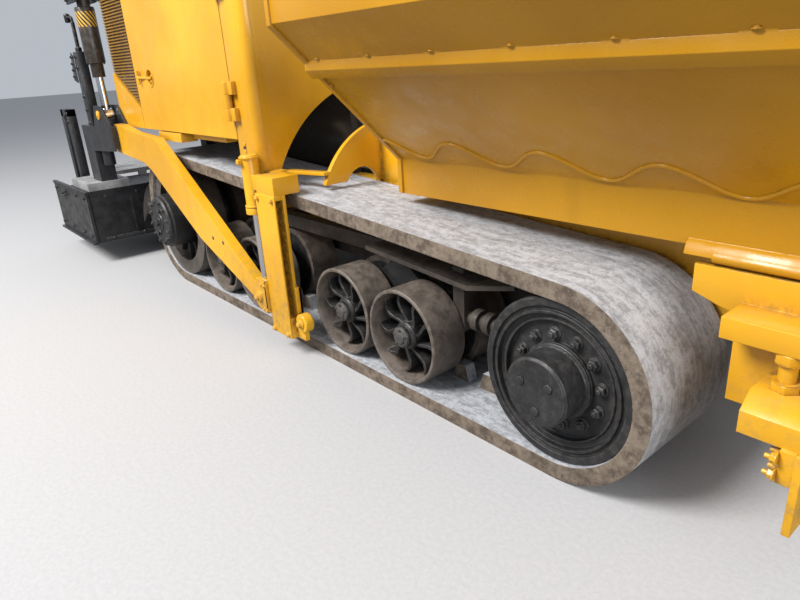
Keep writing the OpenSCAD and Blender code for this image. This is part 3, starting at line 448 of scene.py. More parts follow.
# Closed forms by corners, outlines and radii. With side at -1 what is added is mirrored to the
# machine's right. Loops over both sides end with the left, so later pieces aren't mirrored.
class Shape:
    def __init__(self, side=1):
        self.bm = bmesh.new()
        self.side = side

    def at(self, x, y, z):
        return P(x, y * self.side, z)

    def across(self, y):
        return sorted(v * self.side for v in y)

    def add(self, pts, faces):
        vs = [self.bm.verts.new(p) for p in pts]
        for f in faces:
            self.bm.faces.new([vs[i] for i in f])

    def box(self, x0, x1, y0, y1, z0, z1):
        ys = self.across((y0, y1))
        self.add([P(a, b, c) for a in (x0, x1) for b in ys for c in (z0, z1)], BOX_FACES)

    def boxes(self, *sizes):
        for size in sizes:
            self.box(*size)

    def prism(self, pts, y):
        ys = self.across(y)
        self.add([P(a, b, c) for b in ys for a, c in pts], prism_faces(len(pts)))

    def plate_yz(self, x, pts):
        self.add([self.at(a, b, c) for a in x for b, c in pts], prism_faces(len(pts)))

    def plate_xy(self, z, pts):
        self.add([self.at(a, b, c) for c in z for a, b in pts], prism_faces(len(pts)))

    # Faces between rings of vertices, where a ring of one vertex is a tip
    def skin(self, rings):
        for p, q in zip(rings, rings[1:]):
            n = max(len(p), len(q))
            for k in range(n if n > 1 else 0):
                m = (k + 1) % n
                if len(p) == 1:
                    self.bm.faces.new((p[0], q[k], q[m]))
                elif len(q) == 1:
                    self.bm.faces.new((p[k], p[m], q[0]))
                else:
                    self.bm.faces.new((p[k], p[m], q[m], q[k]))

    def lathe(self, base, a, profile, n, turn):
        u = a.orthogonal().normalized()
        w = a.cross(u)
        rings = []
        for s, r in profile:
            c = base + a * (s / 1000.0)
            if r <= 0.0:
                rings.append([self.bm.verts.new(c)])
                continue
            rings.append([self.bm.verts.new(c + (u * cos(t) + w * sin(t)) * (r / 1000.0))
                          for t in circle(n, turn)])
        self.skin(rings)

    # Turned round an axis, by distance along it and radius: as given, filled to the axis, closed
    def turned(self, at, axis, profile, n=24, turn=0.0):
        x, y, z = axis
        self.lathe(self.at(*at), Vector((x, y * self.side, z)).normalized(), profile, n, turn)

    def solid(self, at, axis, profile, n=24, turn=0.0):
        self.turned(at, axis, [(profile[0][0], 0), *profile, (profile[-1][0], 0)], n, turn)

    def hoop(self, at, axis, profile, n=24):
        self.turned(at, axis, [*profile, profile[0]], n)

    def rod(self, a, b, r, n=16):
        a, b = self.at(*a), self.at(*b)
        h = (b - a).length * 1000.0
        e = min(1.5, r * 0.4)
        profile = [(0, 0), (0, r - e), (e, r), (h - e, r), (h, r - e), (h, 0)]
        self.lathe(a, (b - a).normalized(), profile, n, 0.0)

    def bar_x(self, x, y, z, r):
        self.rod((x[0], y, z), (x[1], y, z), r, 48)

    def bar_y(self, x, y, z, r, n=48):
        self.rod((x, y[0], z), (x, y[1], z), r, n)

    def bar_z(self, x, y, z, r, n=32):
        self.rod((x, y, z[0]), (x, y, z[1]), r, n)

    def tube(self, pts, r, n=12):
        pts = [self.at(*p) for p in pts]
        side = None
        rings = []
        for i, p in enumerate(pts):
            d = (pts[min(i + 1, len(pts) - 1)] - pts[max(i - 1, 0)]).normalized()
            side = (d.orthogonal() if side is None else side - d * side.dot(d)).normalized()
            up = d.cross(side)
            rings.append([self.bm.verts.new(p + (side * cos(t) + up * sin(t)) * (r / 1000.0))
                          for t in circle(n)])
        self.skin(rings)
        self.bm.faces.new(rings[0])
        self.bm.faces.new(rings[-1])

    # Washer and hexagon head, af across the flats, and a stud of the given length
    def bolt(self, at, axis, af, turn=0.0, stud=0.0):
        r = af / 1.732
        h = 3.0 + af * 0.55
        self.solid(at, axis, [(0, r * 1.3), (2.2, r * 1.3), (3, r * 1.22)], 20)
        self.solid(at, axis, [(3, r), (h - 2, r), (h, r * 0.87)], 6, turn)
        if stud:
            self.solid(at, axis, [(h, r * 0.5), (h + stud - 1.5, r * 0.5), (h + stud, r * 0.4)], 14)

    def bolts(self, axis, af, xs, ys, zs):
        for at in product(xs, ys, zs):
            self.bolt(at, axis, af)

    def ring(self, centre, radius, count, size, start=0.0, stud=0.0):
        for k, t in enumerate(circle(count, start)):
            at = (centre[0] + radius * cos(t), centre[1], centre[2] + radius * sin(t))
            self.bolt(at, OUT, size, 0.37 * k, stud)

    # Small raised lozenges in rows, each turned the other way from its neighbours
    def tread(self, x, y, z, pitch, size=9.0):
        y = self.across(y)
        i = 0
        a = x[0] + pitch * 0.6
        while a < x[1] - pitch * 0.4:
            b = y[0] + pitch * (0.6 + 0.5 * (i % 2))
            while b < y[1] - pitch * 0.4:
                d, e = size, size * 0.32
                if (i + round((b - y[0]) / pitch)) % 2 == 0:
                    d, e = e, d
                foot = [P(a - d, b, z), P(a, b - e, z), P(a + d, b, z), P(a, b + e, z)]
                self.add(foot + [P(a, b, z + 1.8)],
                         [(0, 1, 4), (1, 2, 4), (2, 3, 4), (3, 0, 4), (3, 2, 1, 0)])
                b += pitch
            a += pitch
            i += 1

    def done(self, name, mat, bevel=0.0, body="tractor", node=None, angle=38.0):
        bm = self.bm
        bmesh.ops.recalc_face_normals(bm, faces=bm.faces)
        if bevel:
            sharp = [e for e in bm.edges if len(e.link_faces) == 2 and e.calc_face_angle(0.0) > 0.7]
            bmesh.ops.bevel(bm, geom=sharp, offset=bevel / 1000.0, segments=2, profile=0.6,
                            affect="EDGES", clamp_overlap=True)
        me = made(bm, name)
        me.materials.append(M[mat])
        me.polygons.foreach_set("use_smooth", [True] * len(me.polygons))
        me.set_sharp_from_angle(angle=radians(angle))
        o = in_scene(name, me)
        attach(o, body)
        if node:
            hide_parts(node)
        return o


# Hopper wings: bent plate with its upright lip, side rail, lower flange, end plates, knuckles
WING_BACK = -1000
WING_FRONT = 780
SLOPE = 545.0 / 526.0
for s, side in SIDES:
    g = Shape(s)
    g.plate_yz((WING_BACK, WING_FRONT), [
        (1502, 1600), (1502, 1470), (957, 944), (957, 795), (927, 795), (927, 807), (752, 807),
        (752, 837), (927, 837), (927, 956), (1472, 1482), (1472, 1600)])
    y = 957 + (1346 - 944) * SLOPE
    g.plate_yz((-996, WING_FRONT), [
        (y - 12, 1346), (y + 2, 1346), (y + 2, 1313), (y - 26, 1284), (y - 80, 1284)])
    for x in range(-940, 700, 290):
        g.box(x, x + 70, y - 8, y + 2, 1345, 1355)
    g.box(WING_BACK, WING_FRONT, 1498, 1510, 1570, 1600)
    g.plate_yz((266, WING_FRONT), [(953, 817), (969, 805), (981, 773), (953, 773)])
    g.bar_x((346, WING_FRONT), 965, 773, 16)
    for x in (WING_BACK, WING_FRONT - 24):
        g.plate_yz((x, x + 24), [
            (1508, 1600), (1508, 1464), (965, 941), (965, 798), (927, 795), (757, 822), (820, 1120),
            (1080, 1410), (1260, 1600)])
    for x in (-960, -190, 440):
        g.bar_x((x, x + 160), 700, 822, 46)
        g.box(x, x + 160, 700, 754, 808, 836)
    wing = "hopper_wing_" + side
    g.done("hopper_wing_plates_" + side, "shaded_yellow", 2.5, body=wing, node=wing)

# Bulkhead: front plate with an arch over each belt, rounded corner posts, hinge knuckles
g = Shape()
arc = []
for k in range(25):
    z = 845 + (1200 - 845) * k / 24
    arc.append((545 + sqrt(667 ** 2 - (z - 577) ** 2), z))
half = [(642, 1130), (642, 1200)] + arc[::-1] + [(1209, 845)]
outline = half + [(1209, 1960), (-1209, 1960)] + [(-y, z) for y, z in half[::-1]]
g.plate_yz((-1701, -1661), outline)
post = []
for r, turns in ((50, [7.5 * k for k in range(13)]), (10, [90 - 15 * k for k in range(7)])):
    for t in map(radians, turns):
        post.append((-1711 + r * sin(t), 1209 + r * cos(t)))
for g.side in BOTH:
    g.box(-1851, -1711, 1219, 1259, 845, 1960)
    g.plate_xy((845, 1960), post)
    for z in (1160, 1700):
        g.bar_z(-1854, 1280, (z - 55, z + 115), 10, 24)
        for zk in (z - 60, z + 60.3):
            g.bar_z(-1854, 1280, (zk, zk + 59.7), 20)
            g.box(-1854, -1794, 1258, 1284, zk, zk + 59.7)
for y in (-560, 500):
    g.bar_y(-1659, (y - 60, y + 120), 1984, 10, 24)
    for yk in (y - 60, y + 60.3):
        g.bar_y(-1659, (yk, yk + 59.7), 1984, 18, 32)
        g.box(-1671, -1647, yk, yk + 59.7, 1900, 1984)
for g.side in BOTH:
    for z in (955, 991):
        g.solid((-1792, 1259.5, z), OUT, [(0, 13), (2.5, 12), (3.5, 7)])
g.done("bulkhead_plates", "yellow", 1.2, node="bulkhead")

# Side grilles: a recessed panel with rows of louvres, cut short by the panel's slanted foot
g = Shape()
for g.side in BOTH:
    g.prism([(-3556, 1358), (-3136, 1135), (-3136, 1960), (-3556, 1960)], (1219, 1245))
    for z in range(1165, 1930, 18):
        x = -3542 if z > 1358 else -3130 - (z - 1135) * 420.0 / 223.0
        if x < -3160:
            g.plate_yz((x, -3150), [
                (1244, z), (1244, z + 11), (1247, z + 11), (1256, z + 3), (1256, z)])
g.done("grille_louvres", "grille", node="side_grilles")

# Ground wheels: an outer rim with cast spokes and a hub, and a plain inner wheel
TYRE = 169.5
INNER = 776
FACE = 1205.0
WEB = FACE - TYRE
rims = Shape()
cores = Shape()
for s in BOTH:
    rims.side = cores.side = s
    for x in BOGIE_X:
        at = (x, 0, BOGIE_Z)
        rims.hoop(at, OUT, [
            (WEB, 185), (WEB, 205), (FACE - 4, 205), (FACE, 201), (FACE, 191),
            (FACE - 14, 185)], 72)
        rims.solid(at, OUT, [(INNER, 205), (INNER + TYRE, 205)], 72)
        cores.solid(at, OUT, [
            (INNER, 60), (FACE - 34, 60), (FACE - 26, 52), (FACE - 26, 46), (FACE - 6, 46),
            (FACE, 30)], 40)
        cores.solid(at, OUT, [(WEB, 186), (WEB + 12, 186)], 64)
        for k in range(9):
            a = 2.0 * pi * (k + 0.2) / 9
            spoke = []
            for half in (7.5, -7.5):
                row = []
                for j in range(7):
                    r = 54 + j * 22.0
                    t = a + 0.42 * sin(pi * j / 6.0 * 0.85)
                    row.append((
                        x + (r * cos(t) - half * sin(t)), BOGIE_Z + (r * sin(t) + half * cos(t))))
                spoke += row if half > 0 else row[::-1]
            cores.prism(spoke, (WEB + 8, FACE - 42))
rims.done("ground_wheel_rims", "bogie", node="bogie_wheels")
cores.done("ground_wheel_spokes", "bogie", 2.0, node="bogie_wheels")

# Front wheels: stepped rim, ringed rubber face, deep web and long hub
g = Shape()
y, r, hub = FACE, FRONT_R, 117.0
for g.side in BOTH:
    g.solid((0, 0, FRONT_Z), OUT, [
        (WEB, r - 5), (WEB + 5, r), (y - 6, r), (y, r - 6), (y, r - 28), (y - 10, r - 32),
        (y - 10, r - 41), (y, r - 44), (y, r - 52), (y - 18, r - 56), (y - 20, r - 70),
        (y - 14, r - 73), (y - 14, r - 79), (y - 34, r - 82), (y - 34, hub + 14),
        (y - 20, hub + 14), (y - 20, hub), (1292, hub), (1299, hub - 7)], 96)
    g.bar_y(0, (INNER, INNER + TYRE), FRONT_Z, r, 72)
    g.bar_y(0, (INNER, WEB + 1), FRONT_Z, 105)
    g.bar_y(0, (712, INNER + 1), FRONT_Z, 70)
g.done("front_wheel_castings", "wheel", node="front_wheels")

# Final drives: drum with a stepped cover; ribs in the drive wheels
g = Shape()
ribs = Shape()
for s in BOTH:
    g.side = ribs.side = s
    g.solid((DRIVE_X, 0, DRIVE_Z), OUT, [
        (1135, 170), (1295, 170), (1301, 160), (1319, 160), (1329, 150), (1329, 60),
        (1335, 56)], 72)
    g.bar_y(DRIVE_X, (732, INNER), DRIVE_Z, 130)
    for k in range(12):
        a = radians(30 * k)
        u, v = cos(a), sin(a)
        ribs.prism([(DRIVE_X + u * q - v * e, DRIVE_Z + v * q + u * e)
                    for q, e in ((176, 7), (287, 7), (287, -7), (176, -7))], (1134, 1171))
g.done("final_drive_housings", "black", node="final_drives")
ribs.done("drive_wheel_ribs", "drive", 1.5)

# Blocks below the side door, and thin dark discs as painted shade in the mouths of holes in the
# arms and the body's side
g = Shape()
holes = Shape()
slot = [(14 * cos(t), 18 + 14 * sin(t)) for t in (pi * k / 12 for k in range(13))]
slot += [(-a, -b) for a, b in slot]
for s in BOTH:
    g.side = holes.side = s
    g.boxes((-2911, -2572, 1159, 1259, 952, 1004), (-2490, -2080, 1150, 1215, 975, 1004))
    for x, z in ((-2048, 468), (-2169, 474)):
        holes.solid((x, 1338.2, z), OUT, [(0, 11), (0.5, 11)], 20)
    holes.prism([(-1792 + a, 973 + b) for a, b in slot], (1258.6, 1259.5))
g.done("door_sill_blocks", "yellow", 3.0)
holes.done("hole_shade_discs", "dark")

# Tow columns: a channel open to the front, cap, tie to the body, lug, and the tow point barrels
COLUMN_OUT = 1339
LUG_X, LUG_Z = -1356, 190
BARREL_X, BARREL_Y = -1667, 1309
g = Shape()
for g.side in BOTH:
    g.boxes(
        (-1600, -1506, 1279, COLUMN_OUT, 95, 791), (-1507, -1426, 1331, COLUMN_OUT, 95, 791),
        (-1507, -1426, 1279, 1295, 95, 791), (-1507, -1426, 1294, 1332, 95, 200),
        (-1507, -1426, 1294, 1332, 770, 791), (-1592, -1430, 1199, 1333, 790, 872),
        (-1661, -1591, 1160, 1240, 800, 872), (-1427, LUG_X, 1279, 1303, 95, 179))
    g.hoop((LUG_X, 0, LUG_Z), OUT, [
        (1273, 20), (1273, 43), (1276, 46), (1316, 46), (1319, 43), (1319, 20)], 48)
    g.turned((BARREL_X, BARREL_Y, 680), UP, [
        (0, 21), (0, 48), (30, 48), (30, 42), (274, 42), (278, 38), (278, 0)], 48)
    g.box(-1629, -1591, 1289, 1329, 800, 870)
g.done("tow_column_channels", "low", 2.5, node="tow_columns")

# Main frame: side beams, wing hinge tubes and their ears, nose, gussets, cross beams, hitch
g = Shape()
for g.side in BOTH:
    g.box(-3436, 700, 642, 732, 470, 770)
    g.bar_x((-1000, 640), 700, 822, 28)
    for x in (-960, -190, 440):
        for ear in (x - 36, x + 166):
            g.box(ear, ear + 30, 676, 724, 769, 822)
    g.boxes((625, 684.7, 732.3, 960, 380, 600), (440, 684.7, 959, 1000, 380, 606),
            (440, 700, 960, 1100, 605, 665))
    g.prism([(300, 750), (300, 668), (380, 640), (470, 622), (570, 626), (700, 650), (700, 750)],
            (945, 975))
    g.box(540, 700, 732.3, 960, 700, 740)
    gusset = []
    for k in range(33):
        y = 731 + (1070 - 731) * k / 32
        gusset.append((y, 631 + sqrt(438 ** 2 - (y - 669) ** 2)))
    gusset.append((1071, 800))
    for k in range(25):
        t = radians(25 + 145 * k / 24)
        gusset.append((855 + 99 * cos(t), 758 + 99 * sin(t)))
    g.plate_yz((-1425, -1400), gusset + [(731, 777)])
    g.plate_xy((846, 861), [(-1661.3, 1100), (-1661.3, 1150), (-1401, 1077), (-1401, 1030)])
    g.box(-1425, -1008, 702, 732, 770.3, 1020)
g.box(700.3, 740, -732, 732, 340, 620)
for x in (-1600, -2600):
    g.box(x, x + 80, -641.7, 641.7, 470, 580)
g.prism([(739, 480), (833, 480), (833, 560), (739, 560)], (-55, 55))
g.done("frame_beams", "low", 2.5, node="main_frame")


# Tie-down lugs: blocks with a bored eye
def evaluated(ob):
    bpy.context.view_layer.update()
    got = bpy.data.meshes.new_from_object(ob.evaluated_get(bpy.context.evaluated_depsgraph_get()))
    ob.modifiers.clear()
    return got


def eye_lug(name, x, y, z, eye, r):
    g = Shape()
    bore = Shape()
    for s in BOTH:
        g.side = bore.side = s
        g.box(*x, *y, *z)
        bore.bar_y(eye[0], (y[0] - 5, y[1] + 5), eye[1], r, 32)
    lug = g.done(name, "low")
    tool = bore.done(name + "_bore", "low")
    m = lug.modifiers.new("bore", "BOOLEAN")
    m.operation = "DIFFERENCE"
    m.solver = "EXACT"
    m.object = tool
    lug.data = evaluated(lug)
    bpy.data.objects.remove(tool)
    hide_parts("main_frame")


eye_lug("front_tie_lugs", (739, 815), (385, 415), (345, 422), (775, 384), 22)
eye_lug("rear_tie_lugs", (-3516, -3436), (672, 702), (680, 770), (-3480, 725), 25)

# Belt scrapers at the front: plate, hanger, stop bolt
STOP_X, STOP_Y = 605, 1069
g = Shape()
for g.side in BOTH:
    g.box(685, 705, 762, 1180, 160, 394)
    g.plate_yz((542, 730), [(1030, 395), (1170, 395), (1170, 458), (1119, 500), (1030, 500)])
    g.boxes((650, 686, 1119, 1179, 300, 396), (542, 600, 1000.3, 1031, 395, 500))
    g.bar_z(STOP_X, STOP_Y, (500, 580), 22)
    for z, h in ((500, 24), (576, 29)):
        g.solid((STOP_X, STOP_Y, z), UP, [(0, 34), (2, 36), (h - 2, 36), (h, 33)], 6)
g.done("belt_scrapers", "low", 2.0, node="belt_deflectors")

# Track tensioners and the rails between the ground wheel bogies
g = Shape()
for g.side in BOTH:
    g.boxes(
        (-2172, -1060, 900.5, 960.5, 490, 560), (-880, -755, 900.5, 960.5, 490, 560),
        (-910, -850, 732, 901, 500, 550), (-2162, -2102, 732, 901, 500, 550),
        (-620, -560, 950.5, 1030.5, 295, 560), (-756, -560, 900.5, 960.5, 500, 560))
    for x0, x1, r in ((-561, -105, 28), (-530, -496, 46), (-470, -436, 46)):
        g.bar_x((x0, x1), 990.5, FRONT_Z, r)
g.done("track_tensioners", "plate", 2.0)

# Augers: a shaft with a screw flight on each side
AUGER_X, AUGER_Z, AUGER_END = -3672, 400, 1170
PITCH, TURN_STEPS = 300.0, 28
FLIGHT = ((40, 0), (200, 0), (200, 12), (40, 12))
count = int((AUGER_END - 84) / PITCH * TURN_STEPS)
start = AUGER_END - count * PITCH / TURN_STEPS - 12
for s, side in SIDES:
    g = Shape(s)
    g.bar_y(AUGER_X, (4, AUGER_END), AUGER_Z, 45)
    pts = []
    for i in range(count + 1):
        a = 2.0 * pi * i / TURN_STEPS
        for r, dy in FLIGHT:
            pts.append(g.at(
                AUGER_X + r * cos(a), start + i * PITCH / TURN_STEPS + dy, AUGER_Z + r * sin(a)))
    faces = [(0, 1, 2, 3), tuple(4 * count + k for k in (0, 3, 2, 1))]
    for i in range(0, 4 * count, 4):
        for k, m in ((0, 1), (1, 2), (2, 3), (3, 0)):
            faces.append((i + k, i + 4 + k, i + 4 + m, i + m))
    g.add(pts, faces)
    g.done("auger_screw_" + side, "dark", body="auger_" + side, angle=50.0, node="auger_" + side)

# Lift cylinders: brackets on the body, thick barrel with its gland and pipe, lower pin and eye
LIFT_TOP = 1850
LIFT_EYE = 1090
g = Shape()
for g.side in BOTH:
    g.boxes((-3730, -3550, 1389, 1401, 1780, 1960), (-3730, -3562, 1261, 1267, 1780, 1960),
            (-3730, -3550, 1261, 1401, 1930, 1960), (-3730, -3556.3, 1179, 1262, 1800, 1960))
    g.bar_y(LIFT_X, (1261, 1401), LIFT_TOP, 20, 32)
    g.solid((LIFT_X, 1401, LIFT_TOP), OUT, [(0, 34), (6, 34), (8, 31)], 32)
    g.bolt((LIFT_X, 1409, LIFT_TOP), OUT, 18)
    g.bolts(OUT, 18, (-3710, -3575), (1401,), (1805, 1905))
g.done("lift_brackets", "black", 1.5, node="lift_housings")
for s, side in SIDES:
    g = Shape(s)
    g.turned((LIFT_X, LIFT_Y, 1330), UP, [
        (0, 27), (0, 38), (4, 41), (84, 41), (90, 60), (420, 60), (428, 56), (428, 40), (500, 40),
        (500, 0)], 56)
    g.solid((LIFT_X, 0, LIFT_TOP), OUT, [(1290, 38), (1293, 41), (1353, 41), (1356, 38)], 40)
    for t in circle(6):
        g.bolt((LIFT_X + 50 * cos(t), LIFT_Y + 50 * s * sin(t), 1418), DOWN, 10)
    g.tube([(-3708, LIFT_Y, 1745 - 20.0 * i) for i in range(14)] + [
        (-3706, LIFT_Y, 1472), (-3702, LIFT_Y, 1460), (-3694, LIFT_Y, 1456)], 7)
    for z in (1725, 1490):
        g.box(-3714, -3696, LIFT_Y - 12, LIFT_Y + 12, z, z + 22)
    barrel = "lift_barrel_" + side
    g.done("lift_cylinder_" + side, "barrel", 1.2, body=barrel, node=barrel)
    g = Shape(s)
    for o in BOTH:
        y = LIFT_Y + o * 58
        g.solid(
            (LIFT_X, y, LIFT_EYE), (0, o, 0), [(-11, 21), (0, 21), (0, 30), (7, 30), (9, 27)], 32)
        g.solid((LIFT_X, y + o * 9, LIFT_EYE), (0, o, 0), [(0, 12), (5, 10)], 6)
    g.done("lift_eye_pins_" + side, "low", body="screed")
    g = Shape(s)
    g.bar_y(LIFT_X, (1280, 1366), LIFT_EYE, 21, 32)
    g.done("lift_eye_bush_" + side, "chrome", body="lift_rod_" + side)

# Screed extensions: box, guide tube sleeve, open post frame, bolts and wear strips
for s, side in SIDES:
    g = Shape(s)
    g.boxes(
        (-4796, -4416, 30, 1490, 160, 490), (-4756, -4636, 1489, 1495.7, 300, 460),
        (-4616, -4556, 1330, 1390, 489, 1110), (-4476, -4416, 1330, 1390, 489, 1110),
        (-4616, -4416, 1330, 1390, 1060, 1110))
    g.bolts(OUT, 18, (-4500,), (1490,), (300, 420))
    g.bolts(OUT, 18, (-4446,), (1390,), (1020, 1080))
    g.bolts(BACK, 20, (-4796,), range(120, 1460, 200), (210, 440))
    for y in range(200, 1460, 380):
        g.box(-4806, -4796, y - 7, y + 7, 230, 420)
    extension = "screed_extension_" + side
    g.done("screed_extension_box_" + side, "screed", 2.0, body=extension, node=extension)

# Wheel bolts, seals, plugs and hub caps
nuts = Shape()
caps = Shape()
for s in BOTH:
    nuts.side = caps.side = s
    nuts.ring((0, 1171.2, FRONT_Z), 158, 12, 30, 0.13, 9)
    nuts.solid((0, 1185, FRONT_Z), OUT, [(0, 128), (7, 128), (10, 124), (10, 120), (14, 118)], 64)
    for t in circle(3, 0.6):
        nuts.solid((62 * cos(t), 1299, FRONT_Z + 62 * sin(t)), OUT, [(0, 15), (5, 15), (7, 12)], 16)
    for y, r, count, size, start, stud in (
            (1134.8, 246, 12, 26, radians(15), 7), (1134.8, 194, 12, 22, radians(15), 0.0),
            (1329, 134, 12, 20, 0.2, 0.0), (1329, 88, 2, 28, 1.1, 0.0)):
        nuts.ring((DRIVE_X, y, DRIVE_Z), r, count, size, start, stud)
    nuts.bolt((DRIVE_X, 1335, DRIVE_Z), OUT, 40)
    for x in BOGIE_X:
        caps.solid(
            (x, 1199.5, BOGIE_Z), OUT, [(0, 43), (4, 43), (6, 40), (6, 27), (12, 25), (13, 20)],
            40)
        nuts.ring((x, FACE, BOGIE_Z), 34, 5, 9, 0.3)
nuts.done("wheel_bolts", "bolt")
caps.done("ground_wheel_caps", "capsteel")


# Wavy weld seams and bolted details on the hopper wings
def wing_y(z):
    return (z - 944) / 0.9651


for s, side in SIDES:
    g = Shape(s)
    pts = []
    for i in range(174):
        x = -974.0 + i * 10.0
        z = (1000.0 - 15.0 * min(max((x + 400.0) / 800.0, 0.0), 1.0)
             + 38.0 * cos(2.0 * pi * (x + 195.0) / 405.0))
        pts.append((x, 957.0 + wing_y(z) + 1.5, z - 1.0))
    g.tube(pts, 7.5, 10)
    for x in (-986, 766):
        g.tube([(x, 962 + wing_y(z), z) for z in range(950, 1466, 20)], 4.0, 8)
    g.boxes((-998, -960, 1239, 1290, 1252, 1264), (-998, -986, 1239, 1290, 1264, 1282))
    g.bolt((-978, 1326, 1334), (0, 1, 0.3), 20)
    g.bolts(UP, 16, range(-905, 775, 290), (1376,), (1350,))
    g.bolts(OUT, 14, range(-900, 760, 210), (1510,), (1585,))
    g.done("wing_seam_" + side, "shaded_yellow", body="hopper_wing_" + side, angle=50.0)

# Door latches in their round recess, with a T handle beside them
LATCH_X, LATCH_Z = -2883, 1310
for s, side in SIDES:
    g = Shape(s)
    g.hoop((LATCH_X, 1259, LATCH_Z), OUT, [(0, 46), (0, 53), (2, 54), (3.5, 51), (3.5, 46.5)], 40)
    g.solid((LATCH_X, 1243.5, LATCH_Z), OUT, [(0, 16), (8, 15), (10, 12)])
    g.box(-2960, -2868, 1252, 1262, 1302, 1318)
    g.rod((-2955, 1257, LATCH_Z), (-3040, 1272, 1314), 8)
    g.rod((-3040, 1256, 1314), (-3040, 1278, 1314), 10)
    g.tube([(-3040 + 3.0 * cos(k * 0.5), 1274, 1276 + k * 8.0) for k in range(11)], 8)
    g.box(-2900, -2866, 1243.5, 1256, 1286, 1298)
    g.done("door_latch_" + side, "yellow", 2.0, body="side_door_" + side)

# Tow columns: lug caps, bolts, barrel flanges and ports
g = Shape()
for g.side in BOTH:
    g.solid((LUG_X, COLUMN_OUT - 19.8, LUG_Z), OUT, [(0, 24), (5, 24), (7, 21)], 28)
    g.bolt((LUG_X, COLUMN_OUT - 12.8, LUG_Z), OUT, 22)
    for z in (112, 772):
        g.bolts(OUT, 20, (-1580, -1450), (COLUMN_OUT,), (z,))
    for z in (712, 940):
        g.hoop((BARREL_X, BARREL_Y, z), UP, [(0, 42), (2, 48), (10, 48), (12, 42)], 32)
    g.hoop((BARREL_X, BARREL_Y, 676), UP, [(0, 20.5), (0, 30), (4, 32), (4, 20.5)], 32)
    g.rod((BARREL_X, 1348, 930), (BARREL_X, 1362, 930), 11)
    g.solid((BARREL_X, 1362, 930), OUT, [(0, 14), (10, 14), (12, 11)], 6)
g.done("column_fittings", "low", 1.2)

# Tow points: pin cap, chromed rod, and the fork that slides on the column
PIN_X, PIN_Z = -1672, 262
for s, side in SIDES:
    slider = "tow_slider_" + side
    g = Shape(s)
    g.solid((PIN_X, 1361.7, PIN_Z), OUT, [(0, 27), (3, 27), (5, 24)], 28)
    g.bolt((PIN_X, 1366.7, PIN_Z), OUT, 22)
    g.bolts(OUT, 14, (-1612, -1636), (1353.5,), (330, 200))
    g.done("tow_pin_cap_" + side, "low", body=slider)
    g = Shape(s)
    g.bar_z(BARREL_X, BARREL_Y, (349, 692), 20)
    g.done("tow_rod_" + side, "chrome", body=slider, node=slider)
    g = Shape(s)
    g.boxes(
        (-1614.5, -1600.5, 1264.5, 1353.5, 187, 350), (-1614.5, -1411.5, 1264.5, 1278.5, 187, 350),
        (-1425.5, -1411.5, 1264.5, 1295, 187, 350))
    for y in (1264.5, 1339.5):
        g.prism([(-1601, 187), (-1601, 350), (-1650, 350), (-1718, 300), (-1726, 262), (-1718, 224),
                 (-1690, 196), (-1660, 187)], (y, y + 14))
    g.box(-1714, -1601, 1277, 1341, 336, 350)
    g.bar_y(PIN_X, (1256.5, 1361.5), PIN_Z, 30)
    g.done("tow_fork_" + side, "low", 1.5, body=slider, node=slider)

# Scraper plates at the front: bolts with studs, the stop bolt's flats
g = Shape()
for g.side in BOTH:
    for y in (1150, 1186):
        for z in (325, 372):
            g.solid((650, y, z), BACK, [(0, 17), (3, 17)], 20)
            g.solid((647, y, z), BACK, [(0, 13), (11, 13), (13, 11)], 6, z * 0.1)
            g.solid((634, y, z), BACK, [(0, 7), (12, 7), (13, 6)], 12)
    g.bolts(ALONG, 24, (705,), (800, 890, 980, 1070), (190, 425))
    for z in (524.0, 575.5):
        g.hoop((STOP_X, STOP_Y, z), UP, [(0, 22), (0, 33), (1.5, 34), (1.5, 22)], 32)
g.done("scraper_bolts", "low")

# Screed: towers and depth screws with their cranks, tower plate, clamp bolts, wear edges
SCREW_X, SCREW_Y = -3875, 1351
g = Shape()
for g.side in BOTH:
    y = SCREW_Y
    g.box(-3920, -3830, 1321, 1381, 1009, 1500)
    g.bar_z(SCREW_X, y, (1499, 1690), 12, 20)
    g.bar_z(-3820, 1323, (735, 1000), 40, 48)
    g.tube([(SCREW_X, y, 1688), (SCREW_X, y, 1700), (-3878, y, 1712), (-3890, y, 1718),
            (-3950, y, 1722), (-3980, y, 1722)], 9)
    g.solid((-3978, y, 1690), UP, [(0, 15), (6, 18), (46, 20), (54, 17), (58, 9)])
    g.hoop((SCREW_X, y, 1500), UP, [(0, 12), (0, 24), (26, 24), (30, 20), (30, 12)], 6)
    for k in range(44):
        g.hoop((SCREW_X, y, 1534 + k * 3.4), UP, [(0, 12), (1.2, 13.6), (2.4, 12)], 18)
    g.prism([(-3925, 1300), (-3925, 1478), (-3960, 1500), (-4010, 1320)], (y + 31, y + 37))
    for i in range(4):
        g.bolt((-3948 - 8 * i, y + 37, 1470 - 42 * i), OUT, 16)
    g.bolts(OUT, 18, (-3878,), (y + 30,), (1030, 1120, 1210, 1400, 1470))
g.box(-3930, -3922, -1440, 1440, 168, 196)
for y in range(-1380, 1400, 230):
    g.bolt((-3922, y, 182), ALONG, 22)
    g.bolt((-3930, y, 500), ALONG, 20)
for y in range(-1200, 1300, 400):
    g.box(-3930, -3918, y - 8, y + 8, 210, 470)
g.done("screed_fittings", "screed", 1.2, body="screed")
for s, side in SIDES:
    g = Shape(s)
    g.bolts(OUT, 20, (-4780, -4500, -4200, -3990), (1516,), (500, 215))
    g.boxes((-4846, -3925, 1515, 1522, 528, 550), (-4846, -3925, 1515, 1536, 155, 170))
    g.tube([(-4600, 1516, 470), (-4600, 1539, 470), (-4597, 1543, 470), (-4540, 1543, 470),
            (-4483, 1543, 470), (-4480, 1539, 470), (-4480, 1516, 470)], 6)
    g.done("end_gate_fittings_" + side, "screed", 1.0, body="end_gate_" + side)
g = Shape()
for g.side in BOTH:
    g.box(-4350, -3916, 1190, 1488, 550.3, 608)
